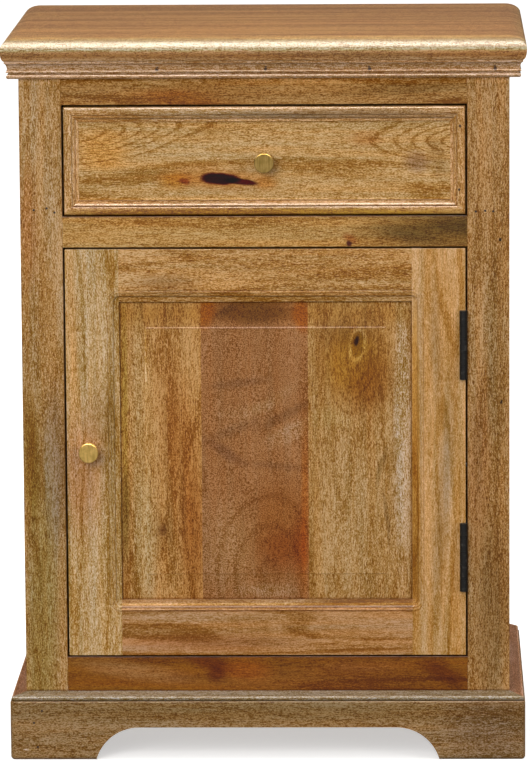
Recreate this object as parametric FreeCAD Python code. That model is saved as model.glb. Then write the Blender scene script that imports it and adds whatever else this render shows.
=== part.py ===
import FreeCAD, Part
import math
import os

from FreeCAD import Vector

# Storage side table: a moulded top on a post-and-rail carcass with one drawer, one door
# and a plinth with bracket feet. All sizes are in millimetres. X runs to the right,
# Y to the back and Z up. The origin is on the floor under the middle of the top board.

# ---------------------------------------------------------------- driving sizes

# Whole table
overall_width = 580.0
overall_depth = 420.0
overall_height = 810.0
arris = 0.8                     # easing of the edges that a hand meets

# Top board and its moulded edge
top_thickness = 24.0
top_overhang = 19.0             # past the carcass at the front and the sides
top_back_overhang = 19.0
top_round_run = 18.0            # upper round of the edge, inwards
top_round_drop = 11.0           # and downwards
top_under_run = 4.5             # lower round of the edge, inwards
top_under_rise = 12.0           # and upwards

# Cornice moulding under the top
cornice_height = 19.7
cornice_projection = 14.8
cornice_fillet = 2.5            # upright band along the upper edge
cornice_cove_seat = 11.4        # projection where the cove starts
cornice_band = 2.4              # height of the flat band under the cove
cornice_band_projection = 12.8
cornice_band_round = 1.4        # upper edge of the band
cornice_bead = 5.0              # diameter of the bead along the lower edge
cornice_bead_seat = 10.0        # projection where the bead starts
cornice_quirk = 2.0             # height of the groove between bead and band

# Carcass frame
post_width = 47.0
post_depth = 40.0
top_rail_height = 50.0
rail_thickness = 22.0
middle_rail_height = 34.6
middle_rail_depth = 40.0
drawer_opening_height = 124.2
bottom_rail_top = 114.5
bottom_rail_height = 68.0
tenon_length = 18.0
tenon_thickness = 8.0
tenon_margin = 2.0              # shoulder beyond the depth of a panel groove
mortise_play = 0.2              # free space past the end of a tenon

# Side frames, back, floor and shelf
side_rail_thickness = 22.0
side_top_rail_height = 60.0
side_bottom_rail_top = 135.0
side_panel_thickness = 8.0
groove_depth = 8.0
groove_play = 0.15              # free space on each face of a panel in its groove
back_panel_thickness = 8.0
back_rebate = 10.0
back_panel_drop = 12.0          # lower edge of the back below the floor board
floor_thickness = 18.0
floor_drop = 2.0                # floor below the top of the bottom rail
shelf_top_height = 345.0
shelf_thickness = 16.0
shelf_play = 1.5                # free space round the loose shelf
shelf_setback = 30.0            # shelf edge behind the carcass front
shelf_pin_radius = 2.5
shelf_pin_in = 10.0
shelf_pin_out = 8.0
shelf_pin_inset = 6.0           # from the inner corner of a post

# Plinth boards and the moulded cap on them
plinth_thickness = 17.3
plinth_board_height = 66.7
plinth_corner_round = 4.6
plinth_foot_round = 4.4         # lower edges
plinth_top_round = 1.4          # upper edges, in front of the cap
plinth_foot_width = 96.0
plinth_arch_height = 37.0
plinth_arch_radius = 50.0
cap_projection = 15.9
cap_height = 8.8
cap_bead = 5.4
cap_edge = 0.2                  # flat under the bead

# Drawer
drawer_side_gap = 1.8           # drawer front to post
drawer_gap_top = 2.4
drawer_gap_bottom = 1.4
drawer_front_thickness = 14.0
drawer_strip_width = 16.5
drawer_strip_thickness = 6.0
drawer_strip_round = 3.0        # outer edges of the strip
drawer_strip_band = 7.6         # nearly flat outer band of the strip
drawer_strip_fall = 0.4         # slope of that band
drawer_strip_band_round = 1.8   # inner edge of that band
drawer_strip_quirk = 1.8        # groove, behind the band
drawer_strip_quirk_width = 0.7
drawer_strip_shoulder = 0.7     # upper end of the ovolo, behind the band
drawer_strip_fillet = 3.0       # flat at the foot of the ovolo
drawer_strip_foot = 0.8
drawer_board_thickness = 12.0
drawer_box_inset = 5.8          # box side inside the opening
drawer_side_drop = 2.5          # box side below the top of the opening
drawer_slip = 0.3               # running space under the drawer
drawer_guide_gap = 0.5
drawer_lap = 6.0                # box side let into the drawer front
drawer_back_drop = 10.0         # drawer back below the box sides
drawer_bottom_thickness = 5.0
drawer_bottom_raise = 9.0       # bottom panel above the lower edge of the sides
drawer_bottom_groove = 5.0
drawer_stop_gap = 0.3           # closed drawer to back panel
runner_thickness = 18.0
runner_lip = 2.0                # runner inside the box side
guide_height = 27.0

# Door
door_thickness = 20.0
door_side_gap = 1.8
door_gap_top = 2.0
door_gap_bottom = 1.5
door_stile_face = 46.1          # face width outside the edge moulding
door_top_rail_face = 46.3
door_bottom_rail_face = 49.1
sticking_width = 13.4           # edge moulding round the panel opening
sticking_groove = 0.6           # width of its two grooves
sticking_reed = 3.0             # width of the fine bead between them
sticking_reed_crest = 0.1       # crest of that bead behind the face
sticking_reed_spring = 0.8
sticking_groove_depth = 1.1
sticking_shoulder = 0.7         # upper end of the ovolo
sticking_ovolo_run = 3.3
sticking_ovolo_foot = 4.2
sticking_fillet = 0.7
sticking_lip_depth = 5.6        # edge of the opening behind the face
panel_setback = 9.0             # front of the panel's tongue behind the face
door_tenon_length = 28.0
door_tenon_thickness = 6.0
panel_tongue_depth = 7.5
panel_tongue_thickness = 6.0
panel_border = 28.5
panel_bevel_rise = 2.5
panel_field_step = 1.0
panel_field_ease = 1.2          # slope of that step, inwards
panel_joint_left = -72.0        # where the three glued boards of the panel meet
panel_joint_right = 47.0

# Knobs
door_knob_inset = 25.0          # from the edge of the door
door_knob_rise = 3.3            # door knob above the middle of the door
drawer_knob_drop = 1.4          # drawer knob below the middle of the drawer
knob_projection = 18.5
knob_radius = 11.0
knob_head_thickness = 6.0
knob_neck_radius = 4.2
knob_base_radius = 6.5
knob_base_height = 1.6
knob_round = 1.2
knob_screw_radius = 2.0
knob_screw_in = 10.0
knob_screw_head_radius = 4.5
knob_screw_head_height = 2.6

# Butt hinges
hinge_length = 77.0
hinge_from_top = 69.2           # end of the upper hinge to the top of the door
hinge_from_bottom = 73.5        # end of the lower hinge to the bottom of the door
hinge_barrel_radius = 4.25
hinge_pin_radius = 2.0
hinge_pin_play = 0.05
hinge_leaf_thickness = 1.5
hinge_leaf_reach = 22.5         # from the axis to the far edge of a leaf
hinge_knuckles = 5
hinge_play = 0.3                # between moving faces
hinge_screw_count = 3
hinge_screw_margin = 12.0       # end screws to the ends of a leaf
hinge_screw_setback = 8.0       # screws to the far edge of a leaf

# Small fasteners
wood_screw_radius = 1.6
wood_screw_head_radius = 3.2
wood_screw_head_height = 1.4
wood_screw_length = 16.0
wood_screw_slot_width = 0.8
wood_screw_slot_depth = 0.6
wood_screw_point_length = 4.0
wood_screw_point_radius = 0.4
top_screw_radius = 2.2
top_screw_head_radius = 4.2
top_screw_head_height = 2.5
top_screw_bite = 15.0           # into the top board
top_screw_counterbore = 6.0
top_screw_count = 3
top_screw_end_margin = 40.0
nail_radius = 0.9
nail_head_radius = 1.3
nail_head_height = 1.0
nail_length = 28.0
cornice_nail_shares = (-0.43, 0.01, 0.43, 0.94)     # of the half width of the carcass

# Places of the other nails: across from an edge, and up from a line
left_post_nails = ((15.3, 7.6), (29.6, 9.5), (38.2, 4.9))     # left edge, middle rail top
right_post_nails = ((9.7, 4.5), (20.1, 5.2), (29.0, 4.6))     # opening, middle rail top
left_foot_nails = ((35.5, 56.2), (26.4, 42.5), (30.4, 14.8))  # end of the plinth, floor

# Magnetic catch
catch_length = 40.0
catch_depth = 16.0
catch_height = 14.0
catch_from_side = 34.0          # catch to the left end of the opening
catch_gap = 0.3
catch_screw_margin = 8.0        # screws to the ends of the catch
strike_length = 36.0
strike_height = 12.0
strike_thickness = 1.2
strike_inset = 1.0              # strike below the top of the door

# ---------------------------------------------------------------- derived places

carcass_half = overall_width / 2 - top_overhang
front = -overall_depth / 2 + top_overhang
back = overall_depth / 2 - top_back_overhang
top_under = overall_height - top_thickness
opening_half = carcass_half - post_width
drawer_opening_top = top_under - top_rail_height
drawer_opening_bottom = drawer_opening_top - drawer_opening_height
door_opening_top = drawer_opening_bottom - middle_rail_height
bottom_rail_low = bottom_rail_top - bottom_rail_height
front_post_back = front + post_depth
back_post_front = back - post_depth
side_inner = carcass_half - side_rail_thickness
side_middle = carcass_half - side_rail_thickness / 2
side_top_rail_low = top_under - side_top_rail_height
tenon_shoulder = groove_depth + tenon_margin
back_panel_front = back - back_panel_thickness
floor_top = bottom_rail_top - floor_drop
floor_low = floor_top - floor_thickness
shelf_low = shelf_top_height - shelf_thickness
plinth_half = carcass_half + plinth_thickness
plinth_front_face = front - plinth_thickness

door_half = opening_half - door_side_gap
door_low = bottom_rail_top + door_gap_bottom
door_high = door_opening_top - door_gap_top
door_back = front + door_thickness
panel_half = door_half - door_stile_face - sticking_width
panel_low = door_low + door_bottom_rail_face + sticking_width
panel_high = door_high - door_top_rail_face - sticking_width
panel_tongue_front = front + panel_setback
panel_tongue_back = panel_tongue_front + panel_tongue_thickness

drawer_half = opening_half - drawer_side_gap
drawer_low = drawer_opening_bottom + drawer_gap_bottom
drawer_high = drawer_opening_top - drawer_gap_top
drawer_face = front + drawer_strip_thickness
drawer_front_back = drawer_face + drawer_front_thickness
drawer_box_half = opening_half - drawer_box_inset
drawer_box_inner = drawer_box_half - drawer_board_thickness
drawer_box_low = drawer_opening_bottom + drawer_slip
drawer_box_high = drawer_opening_top - drawer_side_drop
drawer_box_back = back_panel_front - drawer_stop_gap
drawer_bottom_low = drawer_box_low + drawer_bottom_raise
drawer_bottom_high = drawer_bottom_low + drawer_bottom_thickness
runner_inner = drawer_box_inner - runner_lip
runner_front = front + max(post_depth, middle_rail_depth)

hinge_x = opening_half - hinge_barrel_radius
hinge_y = front - hinge_play - hinge_barrel_radius
hinge_lows = [door_low + hinge_from_bottom, door_high - hinge_from_top - hinge_length]
hinge_leaf_end = hinge_y + hinge_leaf_reach
hinge_notch = hinge_y + hinge_barrel_radius + hinge_play

# ---------------------------------------------------------------- helpers

QUARTER_ROUND = 0.5523          # Bezier handle length that draws a quarter of an ellipse
SAME = 1e-6                     # distance below which two places are the same
OVERRUN = 1.0                   # how far a cutter runs past the face that it opens


def box(x, y, z):
    """Box between the (low, high) pairs x, y and z, in either order."""
    x, y, z = sorted(x), sorted(y), sorted(z)
    return Part.makeBox(x[1] - x[0], y[1] - y[0], z[1] - z[0], Vector(x[0], y[0], z[0]))


def rod(start, direction, radius, length):
    return Part.makeCylinder(radius, length, Vector(*start), Vector(*direction))


def joined(shapes):
    shapes = list(shapes)
    return shapes[0].fuse(shapes[1:]).removeSplitter()


def mirrored(shape):
    return shape.mirror(Vector(0, 0, 0), Vector(1, 0, 0))


def run(start, *steps):
    """Open outline from start. A step is an end point, or a pair of a corner and an end
    point: the outline then rounds that corner."""
    segments = []
    for step in steps:
        rounded = isinstance(step[0], tuple)
        corner, end = step if rounded else (None, step)
        segments.append((start, corner, end))
        start = end
    return segments


def flipped(segments):
    return [(end, corner, start) for start, corner, end in reversed(segments)]


def edge_of(segment, place):
    """Edge of one segment: a straight line, or a quarter of an ellipse round a corner."""
    start, corner, end = segment
    if corner is None:
        return Part.makeLine(place(*start), place(*end))
    a, c, b = place(*start), place(*corner), place(*end)
    curve = Part.BezierCurve()
    curve.setPoles([a, a + (c - a) * QUARTER_ROUND, b + (c - b) * QUARTER_ROUND, b])
    return curve.toShape()


def face_of(parts):
    """Face inside a ring of (segments, place) parts, with straight lines between them."""
    edges = []
    for segments, place in parts:
        edges += [edge_of(segment, place) for segment in segments]
    ring = []
    for index, edge in enumerate(edges):
        ring.append(edge)
        end = edge.lastVertex().Point
        start = edges[(index + 1) % len(edges)].firstVertex().Point
        if end.distanceToPoint(start) > SAME:
            ring.append(Part.makeLine(end, start))
    return Part.Face(Part.Wire(ring))


def moulded_block(profile, u, v, place, plain_back=False):
    """Block over the rectangle u by v whose sides follow the profile of (outwards, w)
    points, mitred at the corners. place turns (u, v, w) into a point. With plain_back
    the high side of v stays square."""
    reach = max(point[0] for segment in profile for point in (segment[0], segment[2]))
    reach += OVERRUN
    along_v = face_of([
        (profile, lambda out, w: place(u[1] + out, v[0] - reach, w)),
        (flipped(profile), lambda out, w: place(u[0] - out, v[0] - reach, w)),
    ])
    far_side = profile
    if plain_back:
        far_side = run((0.0, profile[0][0][1]), (0.0, profile[-1][2][1]))
    along_u = face_of([
        (far_side, lambda out, w: place(u[0] - reach, v[1] + out, w)),
        (flipped(profile), lambda out, w: place(u[0] - reach, v[0] - out, w)),
    ])
    origin = place(0, 0, 0)
    length_v = place(0, v[1] - v[0] + 2 * reach, 0) - origin
    length_u = place(u[1] - u[0] + 2 * reach, 0, 0) - origin
    return along_v.extrude(length_v).common(along_u.extrude(length_u))


def channel(profile, u, v, place):
    """Straight bar over the rectangle u by v whose sides at the ends of u follow the
    profile. It stays square at the ends of v."""
    section = face_of([
        (profile, lambda out, w: place(u[1] + out, v[0], w)),
        (flipped(profile), lambda out, w: place(u[0] - out, v[0], w)),
    ])
    return section.extrude(place(0, v[1], 0) - place(0, v[0], 0))


def swapped(place):
    """The same place with u and v changed round."""
    return lambda v, u, w: place(u, v, w)


def lying(u, v, w):
    """Place for a block that lies flat: u across, v to the back, w up."""
    return Vector(u, v, w)


def standing(u, v, w):
    """Place for a block that faces the front: u across, v up, w to the back."""
    return Vector(u, w, v)


def prism(points, place, low, high):
    """Straight prism over a polygon, from w = low to w = high."""
    corners = [place(u, v, low) for u, v in points]
    face = Part.Face(Part.makePolygon(corners + corners[:1]))
    return face.extrude(place(0, 0, high) - place(0, 0, low))


def on_plane(shape, axis, value, direction):
    """Straight edges of shape in the plane axis = value that run along direction."""
    found = []
    for edge in shape.Edges:
        ends = [vertex.Point for vertex in edge.Vertexes]
        if len(ends) != 2 or abs(edge.Length - ends[0].distanceToPoint(ends[1])) > SAME:
            continue
        run_along = (ends[1] - ends[0]).normalize()
        flat = all(abs(getattr(point, axis) - value) < SAME for point in ends)
        if flat and abs(abs(getattr(run_along, direction)) - 1) < SAME:
            found.append(edge)
    return found


def eased(shape, axis, value, direction, radius=arris):
    return shape.makeFillet(radius, on_plane(shape, axis, value, direction))


def revolved(profile, place, base, axis):
    return face_of([(profile, place)]).revolve(Vector(*base), Vector(*axis), 360)


# ---------------------------------------------------------------- top and cornice

def top_board():
    profile = run(
        (top_overhang - top_under_run, top_under),
        ((top_overhang, top_under), (top_overhang, top_under + top_under_rise)),
        (top_overhang, overall_height - top_round_drop),
        ((top_overhang, overall_height), (top_overhang - top_round_run, overall_height)),
    )
    depth = (front, back + top_back_overhang)
    return moulded_block(profile, (-carcass_half, carcass_half), depth, lying, plain_back=True)


def wedge_front(reach, low, high):
    """Everything in front of the carcass between the two mitres."""
    points = [
        (-carcass_half, front),
        (carcass_half, front),
        (carcass_half + reach, front - reach),
        (-carcass_half - reach, front - reach),
    ]
    return prism(points, lying, low, high)


def wedge_right(reach, low, high):
    """Everything beside the carcass on the right, from the mitre to the back."""
    points = [
        (carcass_half, front),
        (carcass_half + reach, front - reach),
        (carcass_half + reach, back),
        (carcass_half, back),
    ]
    return prism(points, lying, low, high)


def three_runs(name, ring, reach, low, high):
    """Front, left and right runs of a moulding ring, mitred at the front corners."""
    right_wedge = wedge_right(reach, low, high)
    return {
        name + "_front": ring.common(wedge_front(reach, low, high)),
        name + "_left": ring.common(mirrored(right_wedge)),
        name + "_right": ring.common(right_wedge),
    }


def bead_run(seat, low, diameter):
    """Steps of a half-round bead that starts at (seat, low) and stands outwards."""
    tip = seat + diameter / 2
    middle, high = low + diameter / 2, low + diameter
    return [((tip, low), (tip, middle)), ((tip, high), (seat, high))]


def cornice():
    low = top_under - cornice_height
    band_low = low + cornice_bead + cornice_quirk
    cove_low = band_low + cornice_band
    cove_top = top_under - cornice_fillet
    profile = run(
        (cornice_bead_seat, low),
        *bead_run(cornice_bead_seat, low, cornice_bead),
        (cornice_bead_seat, band_low),
        (cornice_band_projection, band_low),
        (cornice_band_projection, cove_low - cornice_band_round),
        ((cornice_band_projection, cove_low), (cornice_cove_seat, cove_low)),
        ((cornice_cove_seat, cove_top), (cornice_projection, cove_top)),
        (cornice_projection, top_under),
    )
    ring = moulded_block(
        profile, (-carcass_half, carcass_half), (front, back), lying, plain_back=True
    )
    return three_runs("cornice", ring, cornice_projection + OVERRUN, low, top_under)


# ---------------------------------------------------------------- plinth

def arch_cutter(half_span, middle, place, low, high):
    """Cutter for the arch of a plinth board: a flat top with a round at each end."""
    rise_angle = math.acos(1 - plinth_arch_height / plinth_arch_radius)
    centre_u = half_span - plinth_arch_radius * math.sin(rise_angle)
    centre_v = plinth_arch_height - plinth_arch_radius

    def on_arc(side, angle):
        u = centre_u + plinth_arch_radius * math.sin(angle)
        return place(middle + side * u, centre_v + plinth_arch_radius * math.cos(angle), low)

    foot = [on_arc(side, rise_angle) for side in (-1, 1)]
    mid_arc = [on_arc(side, rise_angle / 2) for side in (-1, 1)]
    flat = [on_arc(side, 0) for side in (-1, 1)]
    deep = [place(middle + side * half_span, -OVERRUN, low) for side in (-1, 1)]
    edges = [
        Part.makeLine(deep[0], foot[0]),
        Part.Arc(foot[0], mid_arc[0], flat[0]).toShape(),
        Part.makeLine(flat[0], flat[1]),
        Part.Arc(flat[1], mid_arc[1], foot[1]).toShape(),
        Part.makeLine(foot[1], deep[1]),
        Part.makeLine(deep[1], deep[0]),
    ]
    face = Part.Face(Part.Wire(edges))
    return face.extrude(place(0, 0, high) - place(0, 0, low))


def outer_edges(ring, z):
    """Edges at the height z along the front and the sides, with their rounded corners."""
    return [
        edge
        for edge in ring.Edges
        if edge.BoundBox.ZLength < SAME
        and abs(edge.BoundBox.ZMin - z) < SAME
        and edge.BoundBox.YMin < back - SAME
    ]


def plinth():
    ring = box((-plinth_half, plinth_half), (plinth_front_face, back), (0, plinth_board_height))
    ring = eased(ring, "y", plinth_front_face, "z", plinth_corner_round)
    ring = ring.makeFillet(plinth_foot_round, outer_edges(ring, 0.0))
    ring = ring.makeFillet(plinth_top_round, outer_edges(ring, plinth_board_height))
    front_arch = arch_cutter(
        plinth_half - plinth_foot_width, 0, standing, plinth_front_face - OVERRUN, front + OVERRUN
    )
    side_length = back - plinth_front_face
    side_arch = arch_cutter(
        side_length / 2 - plinth_foot_width,
        (back + plinth_front_face) / 2,
        lambda u, v, w: Vector(w, u, v),
        -plinth_half - OVERRUN,
        plinth_half + OVERRUN,
    )
    runs = three_runs("plinth", ring, plinth_thickness, 0, plinth_board_height)
    runs["plinth_front"] = runs["plinth_front"].cut(front_arch)
    runs["plinth_left"] = runs["plinth_left"].cut(side_arch)
    runs["plinth_right"] = runs["plinth_right"].cut(side_arch)
    return runs


def plinth_cap():
    low = plinth_board_height
    high = low + cap_height
    seat = cap_projection - cap_bead / 2
    profile = run(
        (seat, low),
        (seat, low + cap_edge),
        *bead_run(seat, low + cap_edge, cap_bead),
        (0, high),
    )
    ring = moulded_block(
        profile, (-carcass_half, carcass_half), (front, back), lying, plain_back=True
    )
    return three_runs("plinth_cap", ring, cap_projection + OVERRUN, low, high)


# ---------------------------------------------------------------- carcass frame

def front_rail(low, high, depth):
    """Rail between the front posts with a stub tenon at each end."""
    body = box((-opening_half, opening_half), (front, front + depth), (low, high))
    body = eased(body, "y", front, "x")
    middle = front + rail_thickness / 2
    reach = opening_half + tenon_length
    tenon = box(
        (-reach, reach),
        (middle - tenon_thickness / 2, middle + tenon_thickness / 2),
        (low + tenon_shoulder, high - tenon_shoulder),
    )
    return joined([body, tenon])


def front_mortise(low, high):
    middle = front + rail_thickness / 2
    return box(
        (opening_half - OVERRUN, opening_half + tenon_length + mortise_play),
        (middle - tenon_thickness / 2, middle + tenon_thickness / 2),
        (low + tenon_shoulder, high - tenon_shoulder),
    )


def side_rail(low, high):
    """Right-hand side rail with a stub tenon at each end."""
    body = box((side_inner, carcass_half), (front_post_back, back_post_front), (low, high))
    body = eased(body, "x", carcass_half, "y")
    tenon = box(
        (side_middle - tenon_thickness / 2, side_middle + tenon_thickness / 2),
        (front_post_back - tenon_length, back_post_front + tenon_length),
        (low + tenon_shoulder, high - tenon_shoulder),
    )
    return joined([body, tenon])


def side_mortise(low, high):
    reach = tenon_length + mortise_play
    return box(
        (side_middle - tenon_thickness / 2, side_middle + tenon_thickness / 2),
        (front_post_back - reach, back_post_front + reach),
        (low + tenon_shoulder, high - tenon_shoulder),
    )


def side_panel_space(play):
    """Space of the right-hand side panel in its grooves, grown by play on every side."""
    half = side_panel_thickness / 2 + play
    reach = groove_depth - groove_play + play
    return box(
        (side_middle - half, side_middle + half),
        (front_post_back - reach, back_post_front + reach),
        (side_bottom_rail_top - reach, side_top_rail_low + reach),
    )


def back_panel():
    edge = opening_half + back_rebate - groove_play
    low = floor_low - back_panel_drop
    return box((-edge, edge), (back_panel_front, back), (low, top_under))


def notched_board(half, y, z, play):
    """Board across the carcass with a notch round each post, play wide."""
    board = box((-half, half), y, z)
    for side in (-1, 1):
        inner = side * (opening_half - play)
        outer = side * (half + OVERRUN)
        front_notch = box((inner, outer), (y[0] - OVERRUN, front_post_back + play), z)
        back_notch = box((inner, outer), (back_post_front - play, y[1] + OVERRUN), z)
        board = board.cut([front_notch, back_notch])
    return board


def floor_board():
    half = side_inner + groove_depth - groove_play
    depth = (front + rail_thickness, back_panel_front)
    return notched_board(half, depth, (floor_low, floor_top), 0.0)


def shelf():
    half = side_inner - shelf_play
    depth = (front + shelf_setback, back_panel_front - shelf_play)
    board = notched_board(half, depth, (shelf_low, shelf_top_height), shelf_play)
    return eased(board, "y", front + shelf_setback, "x")


def shelf_pins():
    centre_z = shelf_low - shelf_pin_radius
    rows = (front_post_back - shelf_pin_inset, back_post_front + shelf_pin_inset)
    start = opening_half - shelf_pin_out
    length = shelf_pin_in + shelf_pin_out
    right = [rod((start, y, centre_z), (1, 0, 0), shelf_pin_radius, length) for y in rows]
    return right + [mirrored(pin) for pin in right]


def drawer_runner():
    """Right-hand runner: a ledge under the box side and a guide beside it."""
    depth = (runner_front, back_post_front)
    ledge = box(
        (runner_inner, side_inner),
        depth,
        (drawer_opening_bottom - runner_thickness, drawer_opening_bottom),
    )
    guide = box(
        (drawer_box_half + drawer_guide_gap, side_inner),
        depth,
        (drawer_opening_bottom, drawer_opening_bottom + guide_height),
    )
    return joined([ledge, guide])


def drawer_kicker():
    """Right-hand batten over the box side, which also holds the top board."""
    return box(
        (runner_inner, side_inner),
        (front_post_back, back_post_front),
        (drawer_opening_top, top_under),
    )


def carcass():
    front_rails = {
        "rail_front_top": (drawer_opening_top, top_under, rail_thickness),
        "rail_front_middle": (door_opening_top, drawer_opening_bottom, middle_rail_depth),
        "rail_front_bottom": (bottom_rail_low, bottom_rail_top, rail_thickness),
    }
    side_rails = {
        "side_rail_top": (side_top_rail_low, top_under),
        "side_rail_bottom": (bottom_rail_low, side_bottom_rail_top),
    }
    panel = side_panel_space(0.0)
    panel_groove = side_panel_space(groove_play)
    floor_groove = box(
        (side_inner - OVERRUN, side_inner + groove_depth),
        (front_post_back, back_post_front),
        (floor_low, floor_top),
    )
    rebate = box(
        (opening_half - OVERRUN, opening_half + back_rebate),
        (back_panel_front, back + OVERRUN),
        (floor_low - back_panel_drop, top_under),
    )
    side_mortises = [side_mortise(low, high) for low, high in side_rails.values()]
    front_mortises = [front_mortise(low, high) for low, high, _ in front_rails.values()]

    post = box((opening_half, carcass_half), (front, front_post_back), (0, top_under))
    post = eased(post, "y", front, "z")
    post = post.cut(front_mortises + side_mortises + [panel_groove])
    back_post = box((opening_half, carcass_half), (back_post_front, back), (0, top_under))
    back_post = eased(back_post, "x", carcass_half, "z")
    back_post = back_post.cut(side_mortises + [panel_groove, rebate])

    rails = {
        name: side_rail(low, high).cut([panel_groove, floor_groove])
        for name, (low, high) in side_rails.items()
    }
    handed = {
        "post_front": post,
        "post_back": back_post,
        "side_panel": panel,
        "drawer_runner": drawer_runner(),
        "drawer_kicker": drawer_kicker(),
        **rails,
    }
    nodes = {"back_panel": back_panel(), "floor_board": floor_board(), "shelf": shelf()}
    for name, shape in handed.items():
        nodes[name + "_right"] = shape
        nodes[name + "_left"] = mirrored(shape)
    for name, (low, high, depth) in front_rails.items():
        nodes[name] = front_rail(low, high, depth)
    return nodes


# ---------------------------------------------------------------- door

def sticking_profile():
    """Edge moulding of the door frame: a fine bead between two grooves, an ovolo, a fillet
    and a slope down to the panel."""
    reed_outer = sticking_width - sticking_groove
    reed_inner = reed_outer - sticking_reed
    reed_middle = (reed_outer + reed_inner) / 2
    ovolo_outer = reed_inner - sticking_groove
    ovolo_inner = ovolo_outer - sticking_ovolo_run
    crest, spring = front + sticking_reed_crest, front + sticking_reed_spring
    floor, shoulder = front + sticking_groove_depth, front + sticking_shoulder
    foot = front + sticking_ovolo_foot
    return run(
        (sticking_width, front - OVERRUN),
        (sticking_width, spring),
        (reed_outer, spring),
        ((reed_outer, crest), (reed_middle, crest)),
        ((reed_inner, crest), (reed_inner, spring)),
        (reed_inner, floor),
        (ovolo_outer, floor),
        (ovolo_outer, shoulder),
        ((ovolo_inner, shoulder), (ovolo_inner, foot)),
        (ovolo_inner - sticking_fillet, foot),
        (0.0, front + sticking_lip_depth),
        (0.0, door_back + OVERRUN),
    )


def sticking_cutter():
    """Panel opening of the door with its edge moulding, as a cutter. The moulding goes
    round the corners of the opening in quarter circles."""
    profile = sticking_profile()
    u, v = (-panel_half, panel_half), (panel_low, panel_high)
    sides = [channel(profile, u, v, standing), channel(profile, v, u, swapped(standing))]
    half = profile + run(profile[-1][2], (0.0, front - OVERRUN))
    turns = []
    for level, direction in ((v[0], 1), (v[1], -1)):
        section = face_of([(half, lambda out, w: standing(u[1] + out, level, w))])
        turns.append(
            section.revolve(standing(u[1], level, 0), Vector(0, direction, 0), 90)
        )
    return joined(sides + turns + [mirrored(turn) for turn in turns])


def door_panel():
    """Raised panel: a tongue, a bevelled border and a field one step higher."""
    reach = panel_tongue_depth
    bevel_top = panel_tongue_front - panel_bevel_rise
    profile = run(
        (reach, panel_tongue_back),
        (reach, panel_tongue_front),
        (0.0, panel_tongue_front),
        (-panel_border, bevel_top),
        (-panel_border - panel_field_ease, bevel_top - panel_field_step),
    )
    return moulded_block(
        profile, (-panel_half, panel_half), (panel_low, panel_high), standing
    )


def door_frame():
    """Stiles and rails. The edge moulding turns its corners in the stiles, which run the
    whole height, and the rails stand between them."""
    slab = box((-door_half, door_half), (front, door_back), (door_low, door_high))
    for direction in ("x", "z"):
        slab = eased(slab, "y", front, direction)
    groove_reach = groove_depth + groove_play
    groove = box(
        (-panel_half - groove_reach, panel_half + groove_reach),
        (panel_tongue_front - groove_play, panel_tongue_back + groove_play),
        (panel_low - groove_reach, panel_high + groove_reach),
    )
    slab = slab.cut([sticking_cutter(), groove])

    depth = (front, door_back)
    tenon_front = front + (door_thickness - door_tenon_thickness) / 2
    tenon_depth = (tenon_front, tenon_front + door_tenon_thickness)
    reach = panel_half + door_tenon_length
    stile = slab.common(box((panel_half, door_half), depth, (door_low, door_high)))
    nodes = {}
    spans = {
        "door_rail_top": (panel_high, door_high, 1),
        "door_rail_bottom": (panel_low, door_low, -1),
    }
    for name, (inner, outer, outwards) in spans.items():
        rail = slab.common(box((-panel_half, panel_half), depth, (inner, outer)))
        face_inner = inner + outwards * sticking_width
        heights = (face_inner + outwards * tenon_shoulder, outer - outwards * tenon_shoulder)
        tenon = box((panel_half - OVERRUN, reach), tenon_depth, heights)
        nodes[name] = joined([rail, tenon, mirrored(tenon)])
        stile = stile.cut(box((panel_half, reach + mortise_play), tenon_depth, heights))
    nodes["door_stile_right"] = stile
    nodes["door_stile_left"] = mirrored(stile)
    return nodes


def door_boards():
    """The panel as its three edge-glued boards."""
    panel = door_panel()
    edges = [-door_half, panel_joint_left, panel_joint_right, door_half]
    names = ["left", "middle", "right"]
    depth = (front, door_back)
    return {
        "door_panel_board_" + name: panel.common(box(span, depth, (door_low, door_high)))
        for name, span in zip(names, zip(edges, edges[1:]))
    }


# ---------------------------------------------------------------- drawer

def drawer_strips():
    """Mitred moulding strips round the drawer front."""
    inner = drawer_strip_width
    band_edge = drawer_strip_band + drawer_strip_band_round
    ovolo_edge = band_edge + drawer_strip_quirk_width
    ovolo_foot = inner - drawer_strip_fillet
    band_level = front + drawer_strip_fall
    quirk_level = band_level + drawer_strip_quirk
    shoulder_level = band_level + drawer_strip_shoulder
    foot_level = drawer_face - drawer_strip_foot
    profile = run(
        (0.0, front - OVERRUN),
        (0.0, front),
        (-drawer_strip_band, band_level),
        ((-band_edge, band_level), (-band_edge, quirk_level)),
        (-ovolo_edge, quirk_level),
        (-ovolo_edge, shoulder_level),
        ((-ovolo_foot, shoulder_level), (-ovolo_foot, foot_level)),
        (-inner, foot_level),
        (-inner, drawer_face + OVERRUN),
    )
    u, v = (-drawer_half, drawer_half), (drawer_low, drawer_high)
    blank = box(u, (front, drawer_face), v)
    edges = on_plane(blank, "y", front, "x") + on_plane(blank, "y", front, "z")
    blank = blank.makeFillet(drawer_strip_round, edges)
    past_u, past_v = ((low - OVERRUN, high + OVERRUN) for low, high in (u, v))
    upright = blank.cut(channel(profile, u, past_v, standing))
    level = blank.cut(channel(profile, v, past_u, swapped(standing)))

    def corners(inset):
        """Corners at this inset, counter-clockwise from the lower left."""
        half = drawer_half - inset
        low, high = drawer_low + inset, drawer_high - inset
        return [(-half, low), (half, low), (half, high), (-half, high)]

    outside, inside = corners(0.0), corners(inner)
    zones = {}
    for index, name in enumerate(("bottom", "right", "top", "left")):
        following = (index + 1) % len(outside)
        zones[name] = [outside[index], outside[following], inside[following], inside[index]]
    return {
        "drawer_moulding_" + name: (level if name in ("bottom", "top") else upright).common(
            prism(points, standing, front, drawer_face)
        )
        for name, points in zones.items()
    }


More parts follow.
